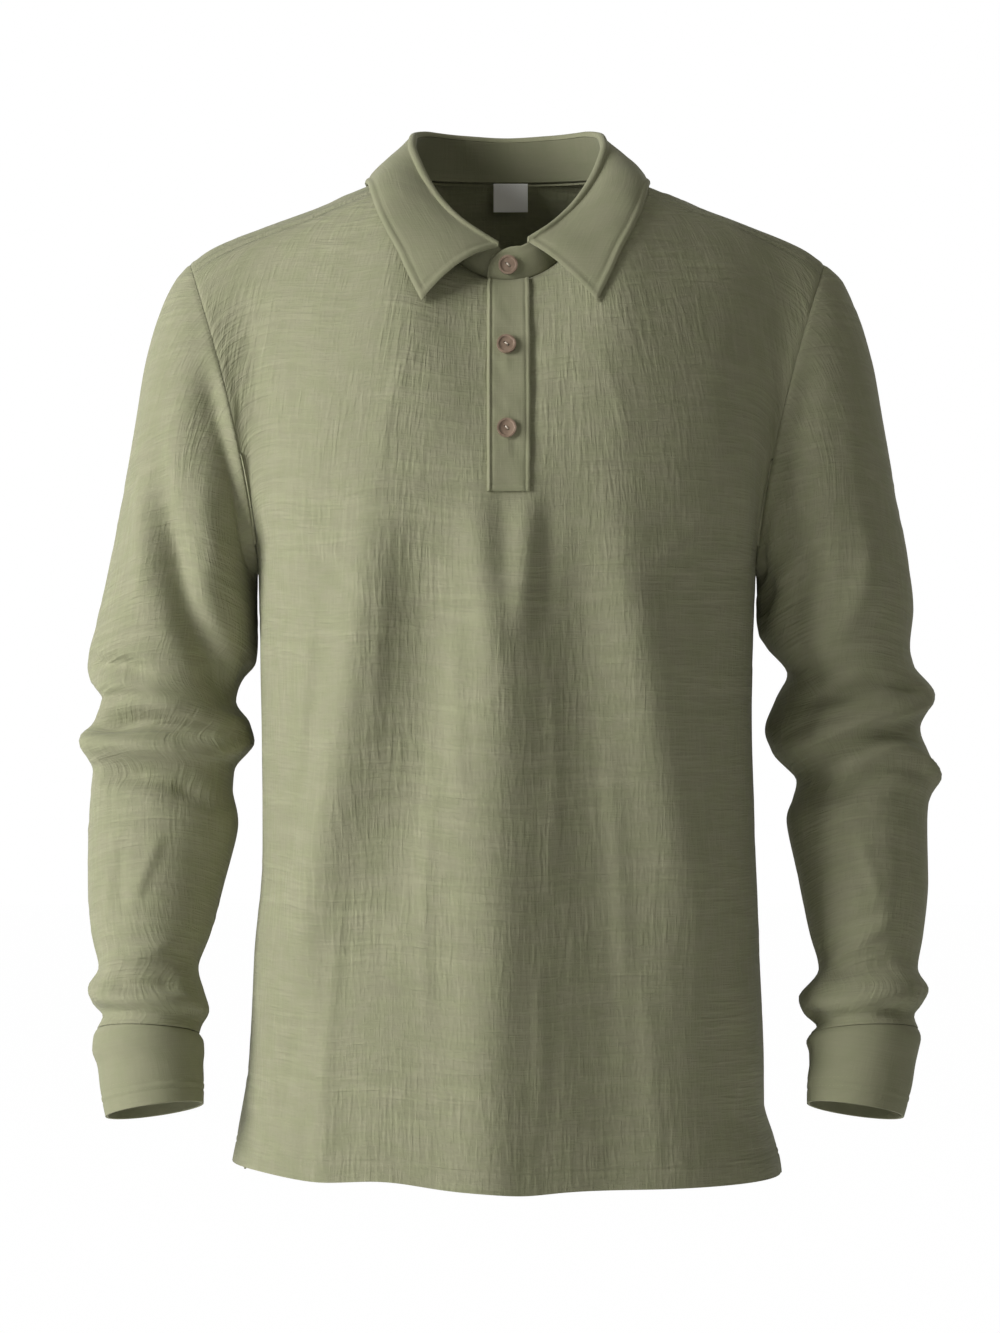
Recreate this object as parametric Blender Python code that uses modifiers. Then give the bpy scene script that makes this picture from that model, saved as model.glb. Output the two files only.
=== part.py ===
# Long-sleeve polo shirt, filled out as if worn, with nobody in it.
# Metres, +Z up, front facing -Y, the wearer's left at +X. The origin lies between the shoulders,
# 11 mm below the side points of the neck seam, where the shirt rests on whoever wears it.
# Each cut piece is a wall of cloth: a grid of points on its outer face and the same grid moved in.
# The tables and the sizes beside them are in millimetres.

import math
from collections import namedtuple

import bmesh
import bpy
import numpy as np
from mathutils import Matrix, Vector
from mathutils.bvhtree import BVHTree

MM = 0.001

# ---- cloth and seams -------------------------------------------------------------------------
BODY_CLOTH = 1.6
TRIM_CLOTH = 2.0
LABEL_CLOTH = 1.0
SEAM_GAP = 0.3
LAY_GAP = 0.4

# ---- body: level sections from the armpit down to the hem ------------------------------------
Section = namedtuple("Section", "z left right front back back_left back_right")
BODY = [
    #        z     right arm side, left arm side, chest, back, the back panel's own two sides
    Section(-285, 183.6, 183.2, 131, 121, 183.6, 183.2),
    Section(-380, 181.6, 180.9, 132, 119, 181.6, 180.9),
    Section(-489, 181.0, 183.8, 131, 116, 181.0, 183.8),
    Section(-563, 186.4, 186.6, 132, 117, 186.4, 186.6),
    Section(-640, 190.3, 189.8, 133, 120, 190.0, 189.6),
    Section(-674, 194.6, 189.9, 134, 121, 192.0, 189.0),
    Section(-700, 199.2, 196.6, 135, 122, 193.6, 189.6),
    Section(-726, 203.6, 202.0, 136, 123, 195.5, 191.0),
    Section(-752, 204.0, 203.0, 136, 123, 196.5, 192.0),
]
BODY_ROUNDNESS = 2.4  # 2 is an ellipse, more is boxier
ARMPIT_Z = -285.0
HEM_Z = -726.0
TAIL_DROP = 24.0  # the back hem hangs this much lower at its middle
TAIL_HALF, TAIL_SQUARENESS = 192.0, 4
VENT_TOP_Z = -674.0
VENT_FRONT = 4.5  # degrees that each panel pulls back from the side seam at the hem
VENT_BACK = 3.0
HEM_WAVES = [(-205, 9, 55), (-95, 6, 42), (14, -2, 25)]  # where, how far up, how wide

# ---- shoulders, neck seam and armholes --------------------------------------------------------
NECK_HALF = 78.0
NECK_SIDE_Z = 11.0
NECK_FRONT_Y, NECK_FRONT_Z = -86.0, -75.0
NECK_BACK_Y, NECK_BACK_Z = 73.0, 12.5
NECK_CURVE = 1.5
SHOULDER = [(78, 11), (106, 0.5), (142, -14.3), (184, -29.5), (204, -37), (221, -45), (235, -55)]
ARMHOLE_DEPTH = 62.0
ARMHOLE_CURVE = 1.65
ARMHOLE_FULLNESS = 0.6
ARMHOLE_REACH = 4  # the more, the less the armhole pulls on the panel away from its side
ARMHOLE_LEAN = (0.05, 0.8, 3)  # how far in the cloth leans at the armpit, more by this on top, how soon
NECK_SHARE = 0.33  # share of a panel's half width that ends in the neck seam
NECK_ROLL, SHOULDER_ROLL = 1.6, 2.6  # how squarely a panel rolls over at its top edge
NECK_BACK_ROUNDNESS = 0.8

# ---- long soft folds that hang down the body ---------------------------------------------------
FOLD_FADE, FOLD_END = 0.3, 0.15  # share of a fold's line over which it fades, and the height left
DRAPE_FADE_SIDE = 0.12  # share of a panel's half width kept plain beside the side seam
DRAPE_FADE_TOP = 30.0
Drape = namedtuple("Drape", "x1 z1 x2 z2 x3 z3 height width")
FRONT_DRAPES = [
    Drape(-103, -215, -120, -370, -165, -610, 8.0, 24),
    Drape(-4, -300, -6, -480, -2, -726, 9.0, 27),
    Drape(82, -250, 105, -430, 136, -640, 8.0, 24),
    Drape(-60, -330, -74, -470, -80, -640, -3.5, 20),
    Drape(52, -330, 58, -470, 62, -640, -4.0, 18),
    Drape(-18, -226, -14, -275, -8, -350, 4.0, 11),
    Drape(19, -238, 16, -290, 8, -350, 4.0, 11),
    Drape(-188, -95, -186, -140, -180, -200, -5.0, 14),
    Drape(172, -95, 169, -140, 166, -200, -5.0, 14),
    Drape(150, -560, 168, -610, 186, -668, 4.0, 12),
]
BACK_DRAPES = [
    Drape(-62, -150, -80, -400, -112, -700, 6.5, 24),
    Drape(8, -210, 4, -430, -6, -740, 6.0, 26),
    Drape(80, -170, 92, -400, 118, -700, 6.5, 24),
    Drape(-150, -330, -148, -440, -150, -560, 4.0, 18),
    Drape(158, -360, 156, -470, 150, -600, 4.0, 18),
    Drape(-176, -90, -178, -140, -176, -200, -4.0, 15),
    Drape(176, -90, 178, -140, 176, -200, -4.0, 15),
]

# ---- sleeves: sections from the armhole to the cuff seam, then the cuff ------------------------
Tube = namedtuple("Tube", "outer_x outer_z inner_x inner_z middle_y half_depth tilt")
RIGHT_SLEEVE = [
    #    outer edge,  inner edge,   depth of its middle, half depth, degrees it tips up in front
    Tube(235.0, -55, 184.0, -285, 0, 62, 0),
    Tube(245.5, -67, 185.5, -288, 1, 64.5, 0),
    Tube(257.0, -91, 185.5, -292, 2, 66, 0),
    Tube(267.5, -126, 185.5, -297, 4, 66.5, 0),
    Tube(275.5, -170, 185.5, -304, 6, 67, 0),
    Tube(284.3, -222, 185.4, -313, 9, 67, 0),
    Tube(294.6, -274, 185.4, -324, 12, 66, 0),
    Tube(305.0, -320, 185.6, -336, 15, 63, 0),
    Tube(313.0, -352, 187.0, -350, 17, 61, 0),
    Tube(309.0, -365, 197.5, -364, 18, 59, 0),
    Tube(300.0, -377, 202.0, -379, 18, 57, 1),
    Tube(307.0, -393, 191.5, -395, 18, 58.5, 2),
    Tube(317.0, -411, 188.5, -409, 18, 60.5, 3),
    Tube(308.5, -431, 203.5, -430, 15, 55.5, 5),
    Tube(309.5, -448, 204.0, -444, 12, 55, 7),
    Tube(310.5, -476, 199.5, -469, 6, 55.5, 9),
    Tube(310.0, -512, 208.5, -510, -3, 51.5, 11),
    Tube(306.5, -551, 218.5, -549, -13, 46.5, 12),
    Tube(301.0, -575, 227.5, -574, -19, 42, 12),
    Tube(308.0, -589, 223.0, -591, -23, 45, 12),
    Tube(305.0, -600, 219.0, -605, -26, 45, 12),
    Tube(296.5, -610, 224.5, -616, -29, 41, 12),
    Tube(300.5, -619, 226.0, -622, -31, 41, 12),
]
RIGHT_CUFF = [
    Tube(303.5, -626, 222.5, -628, -32.5, 41, 12),
    Tube(304.0, -635, 222.0, -636, -34.5, 40.5, 12),
    Tube(300.0, -646, 222.5, -643.5, -37, 38.5, 12),
    Tube(297.5, -662, 222.0, -656.5, -41, 37.5, 12),
    Tube(293.0, -682.5, 222.2, -672, -45, 37, 12),
]
LEFT_SLEEVE = [
    Tube(235.0, -55, 183.5, -285, 0, 62, 0),
    Tube(247.5, -67, 185.3, -288, 1, 64.5, 0),
    Tube(259.5, -91, 185.4, -292, 2, 66, 0),
    Tube(270.5, -126, 185.4, -297, 4, 66.5, 0),
    Tube(278.8, -170, 185.4, -303, 6, 67, 0),
    Tube(288.0, -222, 185.4, -311, 9, 67, 0),
    Tube(298.0, -274, 185.6, -319, 12, 66, 0),
    Tube(302.0, -308, 187.0, -328, 15, 64, 0),
    Tube(299.5, -337, 194.0, -340, 17, 62, 0),
    Tube(302.5, -352, 209.0, -359, 18, 58, 0),
    Tube(318.0, -374, 201.0, -377, 18, 58.5, 1),
    Tube(307.5, -399, 192.5, -400, 18, 60.5, 2),
    Tube(313.5, -417, 198.5, -417, 17, 58.5, 4),
    Tube(321.5, -436, 215.5, -438, 14, 56, 6),
    Tube(313.5, -454, 212.5, -451, 11, 54.5, 7),
    Tube(312.0, -474, 207.5, -467, 6, 55, 9),
    Tube(311.5, -512, 216.0, -510, -3, 51.5, 11),
    Tube(307.0, -551, 223.5, -549, -13, 46.5, 12),
    Tube(302.5, -576, 229.5, -575, -19, 42, 12),
    Tube(310.0, -591, 214.5, -596, -24, 45.5, 12),
    Tube(304.5, -601, 218.5, -608, -27, 45, 12),
    Tube(298.5, -610, 227.5, -616.5, -29, 41, 12),
    Tube(301.5, -619, 223.0, -622, -31, 41, 12),
]
LEFT_CUFF = [
    Tube(303.5, -626, 219.5, -628, -32.5, 41, 12),
    Tube(301.5, -635, 221.5, -636, -34.5, 40.5, 12),
    Tube(299.0, -645, 221.5, -643.5, -37, 38.5, 12),
    Tube(296.0, -661, 219.5, -656.5, -41, 37.5, 12),
    Tube(289.5, -682.5, 219.5, -672, -45, 37, 12),
]

# Folds on a sleeve: three points of the fold's line, each as degrees round the sleeve (0 outside,
# 90 front, 180 inside, 270 back) and height, then how far it stands out and how wide it is.
Fold = namedtuple("Fold", "a1 z1 a2 z2 a3 z3 height width")
FOLD_RADIUS = 60.0
FOLD_FREE_TOP, FOLD_FREE_END = 3, 1.5  # sections over which folds fade in and out at a sleeve's ends
SLEEVE_ROUNDNESS = 0.95  # 1 is an ellipse, less is boxier
CAP_SECTIONS = 4  # sections over which a sleeve leaves the armhole's form
UNDERARM_Z, UNDERARM_HALF = -352.0, 28.0  # above this, and this many degrees from the inner line,
UNDERARM_CLEAR = 0.95  # folds lose this share, so that the sleeve stays clear of the body
RIGHT_FOLDS = [
    Fold(55, -190, 78, -300, 165, -388, -8.0, 12),
    Fold(88, -140, 122, -228, 160, -315, -7.0, 12),
    Fold(100, -255, 108, -300, 120, -345, 5.0, 17),
    Fold(5, -341, 42, -340, 85, -355, -7.0, 9),
    Fold(30, -375, 80, -371, 140, -376, 4.0, 8),
    Fold(20, -391, 85, -387, 160, -400, -7.0, 9),
    Fold(0, -409, 85, -407, 180, -409, 7.0, 9),
    Fold(35, -432, 82, -427, 150, -449, -6.0, 9),
    Fold(40, -572, 90, -563, 125, -535, 4.0, 9),
    Fold(35, -580, 85, -577, 140, -582, -5.0, 8),
    Fold(15, -590, 100, -590, 180, -601, 5.5, 8),
    Fold(205, -350, 262, -362, 330, -352, -6.0, 11),
    Fold(190, -380, 270, -392, 350, -382, 6.0, 11),
    Fold(200, -404, 268, -417, 340, -406, -6.0, 11),
    Fold(190, -428, 270, -438, 345, -428, 5.0, 11),
    Fold(205, -578, 275, -584, 335, -574, -4.0, 9),
    Fold(205, -596, 275, -602, 335, -592, 5.0, 9),
]
LEFT_FOLDS = [
    Fold(85, -120, 108, -205, 155, -262, 5.5, 12),
    Fold(110, -110, 132, -190, 160, -245, -6.5, 11),
    Fold(60, -225, 66, -300, 118, -357, 4.5, 14),
    Fold(30, -366, 78, -360, 145, -371, -8.0, 10),
    Fold(0, -375, 72, -387, 155, -412, 7.5, 9),
    Fold(35, -399, 80, -405, 125, -414, -5.0, 8),
    Fold(0, -436, 60, -411, 138, -441, 7.0, 9),
    Fold(10, -448, 62, -432, 115, -456, -5.0, 8),
    Fold(55, -536, 92, -548, 130, -568, 4.0, 9),
    Fold(45, -575, 88, -572, 130, -575, -5.0, 8),
    Fold(25, -592, 92, -590, 170, -597, 5.5, 8),
    Fold(205, -345, 265, -356, 330, -348, -6.0, 11),
    Fold(190, -372, 270, -384, 350, -376, 6.0, 11),
    Fold(200, -398, 268, -410, 340, -402, -6.0, 11),
    Fold(190, -422, 270, -434, 345, -426, 5.0, 11),
    Fold(205, -578, 275, -584, 335, -574, -4.0, 9),
    Fold(205, -596, 275, -602, 335, -592, 5.0, 9),
]

# ---- collar: sections round the neck from the centre front to the centre back -------------------
# fold is the crest where the leaf turns over the stand, edge is the leaf's free edge, and crown
# is how far the leaf bows up and out between them on the wearer's left and right.
CollarRow = namedtuple("CollarRow", "fold_x fold_y fold_z edge_x edge_y edge_z crown_left crown_right")
COLLAR = [
    CollarRow(9.0, -86, -45.5, 63, -109.5, -91, 4, 9),
    CollarRow(20, -83, -38.5, 72, -104, -73, 4, 7),
    CollarRow(34, -75, -28, 81, -94.5, -53, 4, 5),
    CollarRow(47, -63, -14.5, 90, -82, -36, 4.5, 5),
    CollarRow(57.5, -48, 1, 97, -64, -19, 5, 5),
    CollarRow(66, -30, 18.5, 102.5, -34, -0.5, 3, 3),
    CollarRow(71, -8, 34.5, 104.8, -2, 4, 1.5, 1.5),
    CollarRow(70, 22, 45, 100, 33, 0.5, 1.5, 1.5),
    CollarRow(57, 51, 49.5, 80, 67, -4, 3, 3),
    CollarRow(32, 71, 49, 45, 85, -5, 4, 4),
    CollarRow(0, 78, 48, 0, 87, -4, 4, 4),
]
NECK_ELLIPSE_X, NECK_ELLIPSE_Y = 72.0, 82.0  # the crest's angles are counted on this ellipse
COLLAR_SHIFT = 1.4  # the neck sits this far towards the wearer's left at its front,
SHIFT_Y, SHIFT_SPAN = 40.0, 80.0  # fading to nothing at this depth over this span
ROLL_OUT, ROLL_UP = 3.2, 3.8  # half width and height of the rolled crest
CROWN_OUT, CROWN_UP = 0.5, 0.8  # how much of the leaf's crown goes outward and upward
LEAF_CLEAR = (3.0, 3.0, 2.6, 1.9, 1.1)  # air under the leaf, row by row down to its free edge
LEAF_FIRST, LEAF_LAST = 10.0, 354.0  # degrees round the neck where the leaf begins and ends
LAP_END, UNDER_END = -10.6, 366.5  # degrees round the neck where the stand's two ends lie
LAP_CORNER, LAP_ROUNDING = 15.0, 0.72  # degrees and share of its height that the lap's corner takes
LAP_FULL, LAP_SPAN = 16.0, 16.0  # the lap stands out in full up to this angle, then eases in
UNDER_SET, UNDER_FROM, UNDER_SPAN = 0.8, 332.0, 12.0  # the under end eases inward
UNDER_DROP, UNDER_DROP_FROM, UNDER_DROP_SPAN = 0.2, 352.0, 8.0  # and loses a share of its height
STAND_SET = 1.2  # the stand's top edge lies this far inside the crest's middle
STAND_FOOT = 0.3  # and its foot this far inside the neck seam
STAND_BOW = 0.8
STAND_TURN = 0.5  # share of its slope that the stand's thickness follows

# ---- placket, buttons and neck label ------------------------------------------------------------
PLACKET_LEFT, PLACKET_RIGHT = -14.5, 16.2
PLACKET_BOTTOM = -228.5
PLACKET_TOP, UNDER_TOP = 1.3, 3.3  # how far below the neck seam the two bands end
SLIT_HALF = 1.0
SLIT_BOTTOM = -214.0
SLIT_FADE_Z, SLIT_FADE_HALF = -300.0, 7.0  # below the slit its two columns spread to this
UNDER_LEFT, UNDER_RIGHT = -16.0, 13.0
UNDER_BOTTOM = -224.5
Button = namedtuple("Button", "name x z")
BUTTONS = [Button("button_neck", 0.6, -63.5), Button("button_middle", -0.6, -122.5),
           Button("button_lower", -0.4, -183.0)]
BUTTON_RADIUS = 7.0
BUTTON_THICK = 2.4
BUTTON_RIM = 1.5
BUTTON_DISH = 0.7
BUTTON_DISH_SLOPE = 0.6
BUTTON_EDGE_IN, BUTTON_EDGE_FALL, BUTTON_EDGE_SIDE = 0.5, 0.1, 0.7  # the rim's rounded corner
BUTTON_BACK_IN, BUTTON_BACK_UP = 0.9, 0.6
BUTTON_HOLE = 0.9
BUTTON_HOLE_AT = 1.12  # each hole's place from the middle, both across and up
BUTTON_SPREAD = 4.0  # the cloth's lean under a button is read this far above and below it
BUTTON_AIR = 0.2
LABEL_LEFT, LABEL_RIGHT = -10.3, 16.0
LABEL_TOP, LABEL_BOTTOM = 12.6, -9.5
LABEL_AIR = 2.2
LABEL_SEAM = 1.5  # the back panel is read no nearer to the neck seam than this
LABEL_SPREAD = 2.0

# ---- how fine the grids are ----------------------------------------------------------------------
FRONT_COLUMNS = (6, 8)  # on each half of the panel, under the neck seam and under the shoulder
BACK_COLUMNS = (5, 6)
LOW_ROWS = 15
SLEEVE_SIDES = 24
LONG_SPAN = 30.0  # sleeve sections further apart than this get one between them
STAND_SHARES = (0, 0.33, 0.67, 1)
LAP_PLACES = (0, 2.5, 5.5, 9.5, 15)  # degrees from the lap's end
UNDER_PLACES = (342.0, 349.0, 355.0, 361.0)
STAND_PANEL_FROM, STAND_PANEL_TO = 1.4, 340.0  # between these it follows the panels' own points
ROLL_TURNS = (40, 75, 110, 145)
LEAF_ROWS = 5
BAND_COLUMNS, BAND_ROWS = 5, 16
BAND_PACE = 1.6  # the more, the closer the band's rows lie towards the neck
BUTTON_SIDES, HOLE_SIDES = 20, 8
LABEL_COLUMNS, LABEL_ROWS = 4, 5
SMOOTH_ANGLE = 50
FAR = 400.0  # rays that look for the cloth start this far out

COLOURS = {
    "cloth": ((0.36, 0.35, 0.22, 1), 0.85),
    "trim": ((0.33, 0.33, 0.20, 1), 0.8),
    "button": ((0.30, 0.19, 0.12, 1), 0.45),
    "label": ((0.80, 0.79, 0.76, 1), 0.6),
}


# ---- small helpers -------------------------------------------------------------------------------
def clear_scene():
    for old in list(bpy.data.objects):
        bpy.data.objects.remove(old)


def material(slot):
    found = bpy.data.materials.get(slot)
    if found:
        return found
    colour, roughness = COLOURS[slot]
    made = bpy.data.materials.new(slot)
    made.use_nodes = True
    shader = made.node_tree.nodes["Principled BSDF"]
    shader.inputs["Base Color"].default_value = colour
    shader.inputs["Roughness"].default_value = roughness
    shader.inputs["Metallic"].default_value = 0.0
    return made


def ease(t):
    t = np.clip(t, 0.0, 1.0)
    return t * t * (3 - 2 * t)


def through(at, knots, values):
    """A smooth curve through the knots that never swings past its values."""
    knots, values = np.asarray(knots, float), np.asarray(values, float)
    steps = np.diff(knots)
    rises = np.diff(values) / steps
    slopes = np.zeros(len(knots))
    slopes[0], slopes[-1] = rises[0], rises[-1]
    same_way = rises[:-1] * rises[1:] > 0
    mean = 2 * rises[:-1] * rises[1:] / np.where(same_way, rises[:-1] + rises[1:], 1.0)
    slopes[1:-1] = np.where(same_way, mean, 0.0)
    at = np.clip(at, knots[0], knots[-1])
    i = np.clip(np.searchsorted(knots, at, side="right") - 1, 0, len(steps) - 1)
    t = (at - knots[i]) / steps[i]
    return (values[i] * (1 + 2 * t) * (1 - t) ** 2 + values[i + 1] * t * t * (3 - 2 * t)
            + steps[i] * (slopes[i] * t * (1 - t) ** 2 - slopes[i + 1] * t * t * (1 - t)))


def column(rows, name, at):
    """One column of a table, read smoothly at row numbers that may lie between rows."""
    return through(at, np.arange(len(rows)), [getattr(row, name) for row in rows])


def body_size(name, z):
    """One column of BODY at height z."""
    rows = BODY[::-1]
    return through(z, [row.z for row in rows], [getattr(row, name) for row in rows])


def bow(start, middle, end, count=24):
    """Points of the curve that passes through three points."""
    t = np.linspace(0, 1, count)[:, None]
    start, middle, end = (np.asarray(p, float) for p in (start, middle, end))
    return start * (1 - t) * (1 - 2 * t) + middle * 4 * t * (1 - t) + end * t * (2 * t - 1)


def raised(across, height, folds, reach=1.0):
    """How far a set of folds lifts the points given by a sideways and a height coordinate."""
    lift = np.zeros(across.shape)
    for a1, z1, a2, z2, a3, z3, tall, wide in folds:
        line = bow((a1, z1), (a2, z2), (a3, z3))
        line[:, 0] *= reach
        gap = (across[..., None] - line[:, 0]) ** 2 + (height[..., None] - line[:, 1]) ** 2
        nearest = gap.argmin(axis=-1)
        along = nearest / (len(line) - 1)
        fade = ease(np.minimum(along, 1 - along) / FOLD_FADE) * (1 - FOLD_END) + FOLD_END
        lift += tall * fade * np.exp(-gap.min(axis=-1) / wide**2)
    return lift


def grid_normals(grid, around=False):
    """Unit normals of a grid of points, by the slope along its rows and columns."""
    if around:
        grid_wide = np.concatenate([grid[:, -1:], grid, grid[:, :1]], axis=1)
        along = np.gradient(grid_wide, axis=1)[:, 1:-1]
    else:
        along = np.gradient(grid, axis=1)
    up = np.gradient(grid, axis=0)
    normal = np.cross(along, up)
    return normal / np.maximum(np.linalg.norm(normal, axis=-1, keepdims=True), 1e-12)


def finish_object(name, mesh, slot):
    made = bpy.data.objects.new(name, mesh)
    mesh.materials.append(material(slot))
    mesh.shade_smooth()
    mesh.set_sharp_from_angle(angle=math.radians(SMOOTH_ANGLE))
    shirt.objects.link(made)
    return made


def wall(name, grid, inward, thick, slot, around=False, skip=None):
    """A cloth wall: the grid is its outer face and inward points from there to its inner face."""
    grid = grid * MM
    inner = grid + inward * (thick * MM)
    rows, columns = grid.shape[:2]
    form = bmesh.new()
    layers = []
    for points in (grid, inner):
        layers.append([[form.verts.new(p) for p in row] for row in points])
    cells = [(i, j) for i in range(rows - 1) for j in range(columns - (0 if around else 1))
             if skip is None or not skip[i, j]]
    uses = {}
    for i, j in cells:
        k = (j + 1) % columns
        ring = [(i, j), (i, k), (i + 1, k), (i + 1, j)]
        form.faces.new([layers[0][a][b] for a, b in ring])
        form.faces.new([layers[1][a][b] for a, b in reversed(ring)])
        for side in range(4):
            a, b = ring[side], ring[(side + 1) % 4]
            uses[(a, b)] = True
    for a, b in uses:
        if (b, a) not in uses:
            form.faces.new([layers[0][b[0]][b[1]], layers[0][a[0]][a[1]],
                            layers[1][a[0]][a[1]], layers[1][b[0]][b[1]]])
    loose = [v for v in form.verts if not v.link_faces]
    bmesh.ops.delete(form, geom=loose, context="VERTS")
    mesh = bpy.data.meshes.new(name)
    form.to_mesh(mesh)
    form.free()
    return finish_object(name, mesh, slot)


# ---- body panels -----------------------------------------------------------------------------------
def body_section(z, turn, is_front):
    """A point of the level section at height z; turn runs from -90 to 90 degrees across the panel."""
    left = body_size("left" if is_front else "back_left", z)
    right = body_size("right" if is_front else "back_right", z)
    deep = body_size("front" if is_front else "back", z)
    sine, cosine = np.sin(turn), np.abs(np.cos(turn))
    reach = (np.abs(sine) ** BODY_ROUNDNESS + cosine**BODY_ROUNDNESS) ** (-1 / BODY_ROUNDNESS)
    return np.where(turn < 0, left, right) * sine * reach, deep * cosine * reach * (-1, 1)[not is_front]


def shoulder_line(x):
    xs, zs = zip(*SHOULDER)
    return through(x, xs, zs)


def panel_top(s, is_front):
    """The panel's top edge: the neck seam in the middle, then the shoulder seams."""
    share = np.abs(s)
    turn = np.minimum(share / NECK_SHARE, 1) * math.pi / 2
    seam = NECK_HALF + (SHOULDER[-1][0] - NECK_HALF) * np.maximum(share - NECK_SHARE, 0) / (
        1 - NECK_SHARE)
    x, y, z = neck_seam(turn if is_front else math.pi - turn)
    on_neck = share < NECK_SHARE
    return (np.sign(s) * np.where(on_neck, x, seam), np.where(on_neck, y, 0.0),
            np.where(on_neck, z, shoulder_line(seam)))


def neck_seam(turn):
    """The neck seam; turn runs from 0 at the centre front to 180 degrees at the centre back."""
    front = np.cos(turn) > 0
    reach = np.abs(np.cos(turn))
    y = np.where(front, NECK_FRONT_Y * reach, NECK_BACK_Y * reach**NECK_BACK_ROUNDNESS)
    z = np.where(front, NECK_SIDE_Z + (NECK_FRONT_Z - NECK_SIDE_Z) * reach**NECK_CURVE,
                 NECK_SIDE_Z + (NECK_BACK_Z - NECK_SIDE_Z) * reach)
    return NECK_HALF * np.sin(turn), y, z


def armhole_depth(w):
    """How far the armhole seam lies before or behind the shoulder; w is 0 below, 1 on top."""
    return ARMHOLE_DEPTH * np.maximum(4 * w * (1 - w), 0) ** ARMHOLE_FULLNESS


def hem_height(x, is_front):
    rise = np.zeros(np.shape(x))
    if not is_front:
        return HEM_Z - TAIL_DROP * np.maximum(1 - (np.abs(x) / TAIL_HALF) ** TAIL_SQUARENESS, 0)
    for where, up, wide in HEM_WAVES:
        rise = rise + up * np.exp(-(((x - where) / wide) ** 2))
    return HEM_Z + rise


def panel_columns(counts, first):
    """Column places from -1 to 1. With first above 0, a narrow pair flanks the placket's slit."""
    neck = np.linspace(first, NECK_SHARE, counts[0] + 1)
    half = np.concatenate([neck, np.linspace(NECK_SHARE, 1, counts[1] + 1)[1:]])
    return np.concatenate([-half[::-1], half if first else half[1:]])


def panel(columns, is_front, drapes):
    """The outer face of the front or back panel, row by row from the hem to its top edge."""
    s = columns[None, :]
    turn = s * math.pi / 2
    beside_slit = (np.abs(s) < NECK_SHARE / FRONT_COLUMNS[0] / 2) & (s != 0)
    flat_x, _ = body_section(np.full(s.shape, HEM_Z), turn, is_front)
    hem = hem_height(flat_x, is_front)
    low = np.linspace(0, 1, LOW_ROWS)[:-1, None]
    z_low = hem + (ARMPIT_Z - hem) * low
    open_by = VENT_FRONT if is_front else VENT_BACK
    apart = ease((VENT_TOP_Z - z_low) / (VENT_TOP_Z - HEM_Z)) * math.radians(open_by)
    turn_low = turn * (1 - apart / (math.pi / 2))
    below_slit = ease((SLIT_BOTTOM - z_low) / (SLIT_BOTTOM - SLIT_FADE_Z))
    spread = 1 + (SLIT_FADE_HALF / SLIT_HALF - 1) * below_slit
    turn_low = np.where(beside_slit, turn_low * spread, turn_low)
    x_low, y_low = body_section(z_low, turn_low, is_front)

    # The upper rows meet the armhole seam where the sleeve's first section has its points.
    w = (1 - np.cos(np.linspace(0, math.pi, SLEEVE_SIDES // 2 + 1)))[:, None] / 2
    top_x, top_y, top_z = panel_top(s, is_front)
    ring_x, ring_y = body_section(np.full(s.shape, ARMPIT_Z), turn, is_front)
    roll = NECK_ROLL + (SHOULDER_ROLL - NECK_ROLL) * ease(np.abs(s) / NECK_SHARE)
    left_over = np.maximum(1 - w**roll, 0) ** (1 / roll)
    arm_y = armhole_depth(w) * (-1 if is_front else 1) * np.abs(s) ** ARMHOLE_REACH
    x_high = ring_x + (top_x - ring_x) * w**ARMHOLE_CURVE
    y_high = top_y + (ring_y - top_y) * left_over + arm_y
    z_high = ARMPIT_Z + (top_z - ARMPIT_Z) * w

    grid = np.stack([np.concatenate([x_low, x_high]), np.concatenate([y_low, y_high]),
                     np.concatenate([z_low, z_high])], axis=-1)
    outward = grid_normals(grid) * (1 if is_front else -1)
    lift = raised(grid[..., 0], grid[..., 2], drapes)
    edge = ease((1 - np.abs(s)) / DRAPE_FADE_SIDE) * ease((top_z - grid[..., 2]) / DRAPE_FADE_TOP)
    grid = grid + outward * (lift * edge)[..., None]
    return inset_edges(grid)


def inset_edges(grid):
    """Pulls a panel's side and top edges back by half a seam gap."""
    grid = grid.copy()
    for edge, next_in in ((np.s_[:, 0], np.s_[:, 1]), (np.s_[:, -1], np.s_[:, -2]),
                          (np.s_[-1, :], np.s_[-2, :])):
        step = grid[next_in] - grid[edge]
        grid[edge] = grid[edge] + step / np.linalg.norm(step, axis=-1, keepdims=True) * SEAM_GAP / 2
    return grid


def panel_inward(grid, is_front):
    """Which way is in at each point. Along a seam both panels share one direction."""
    inward = -grid_normals(grid) * (1 if is_front else -1)
    high = grid[:, 0, 2] > ARMPIT_Z + 1
    for j, sign in ((0, -1), (-1, 1)):
        inward[:, j] = [-sign, 0, 0]
        w = np.clip((grid[high, j, 2] - ARMPIT_Z) / (SHOULDER[-1][1] - ARMPIT_Z), 0, 1)
        inward[high, j] = seam_inward(w, sign, -1 if is_front else 1)
    shoulder = np.abs(grid[-1, :, 0]) >= NECK_HALF - 1
    inward[-1, shoulder, 1] = 0.0
    inward[-1] /= np.linalg.norm(inward[-1], axis=-1, keepdims=True)
    return inward


def seam_inward(w, side, front):
    """The direction in at the armhole seam, between that of the panel and that of the sleeve."""
    low, more, power = ARMHOLE_LEAN
    x = -side * (low + more * w**power)
    y = -front * 2 * np.sqrt(np.maximum(w * (1 - w), 0))
    z = 1 - 2 * w
    way = np.stack([x + 0 * w, y, z], axis=-1)
    return way / np.linalg.norm(way, axis=-1, keepdims=True)


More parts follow.
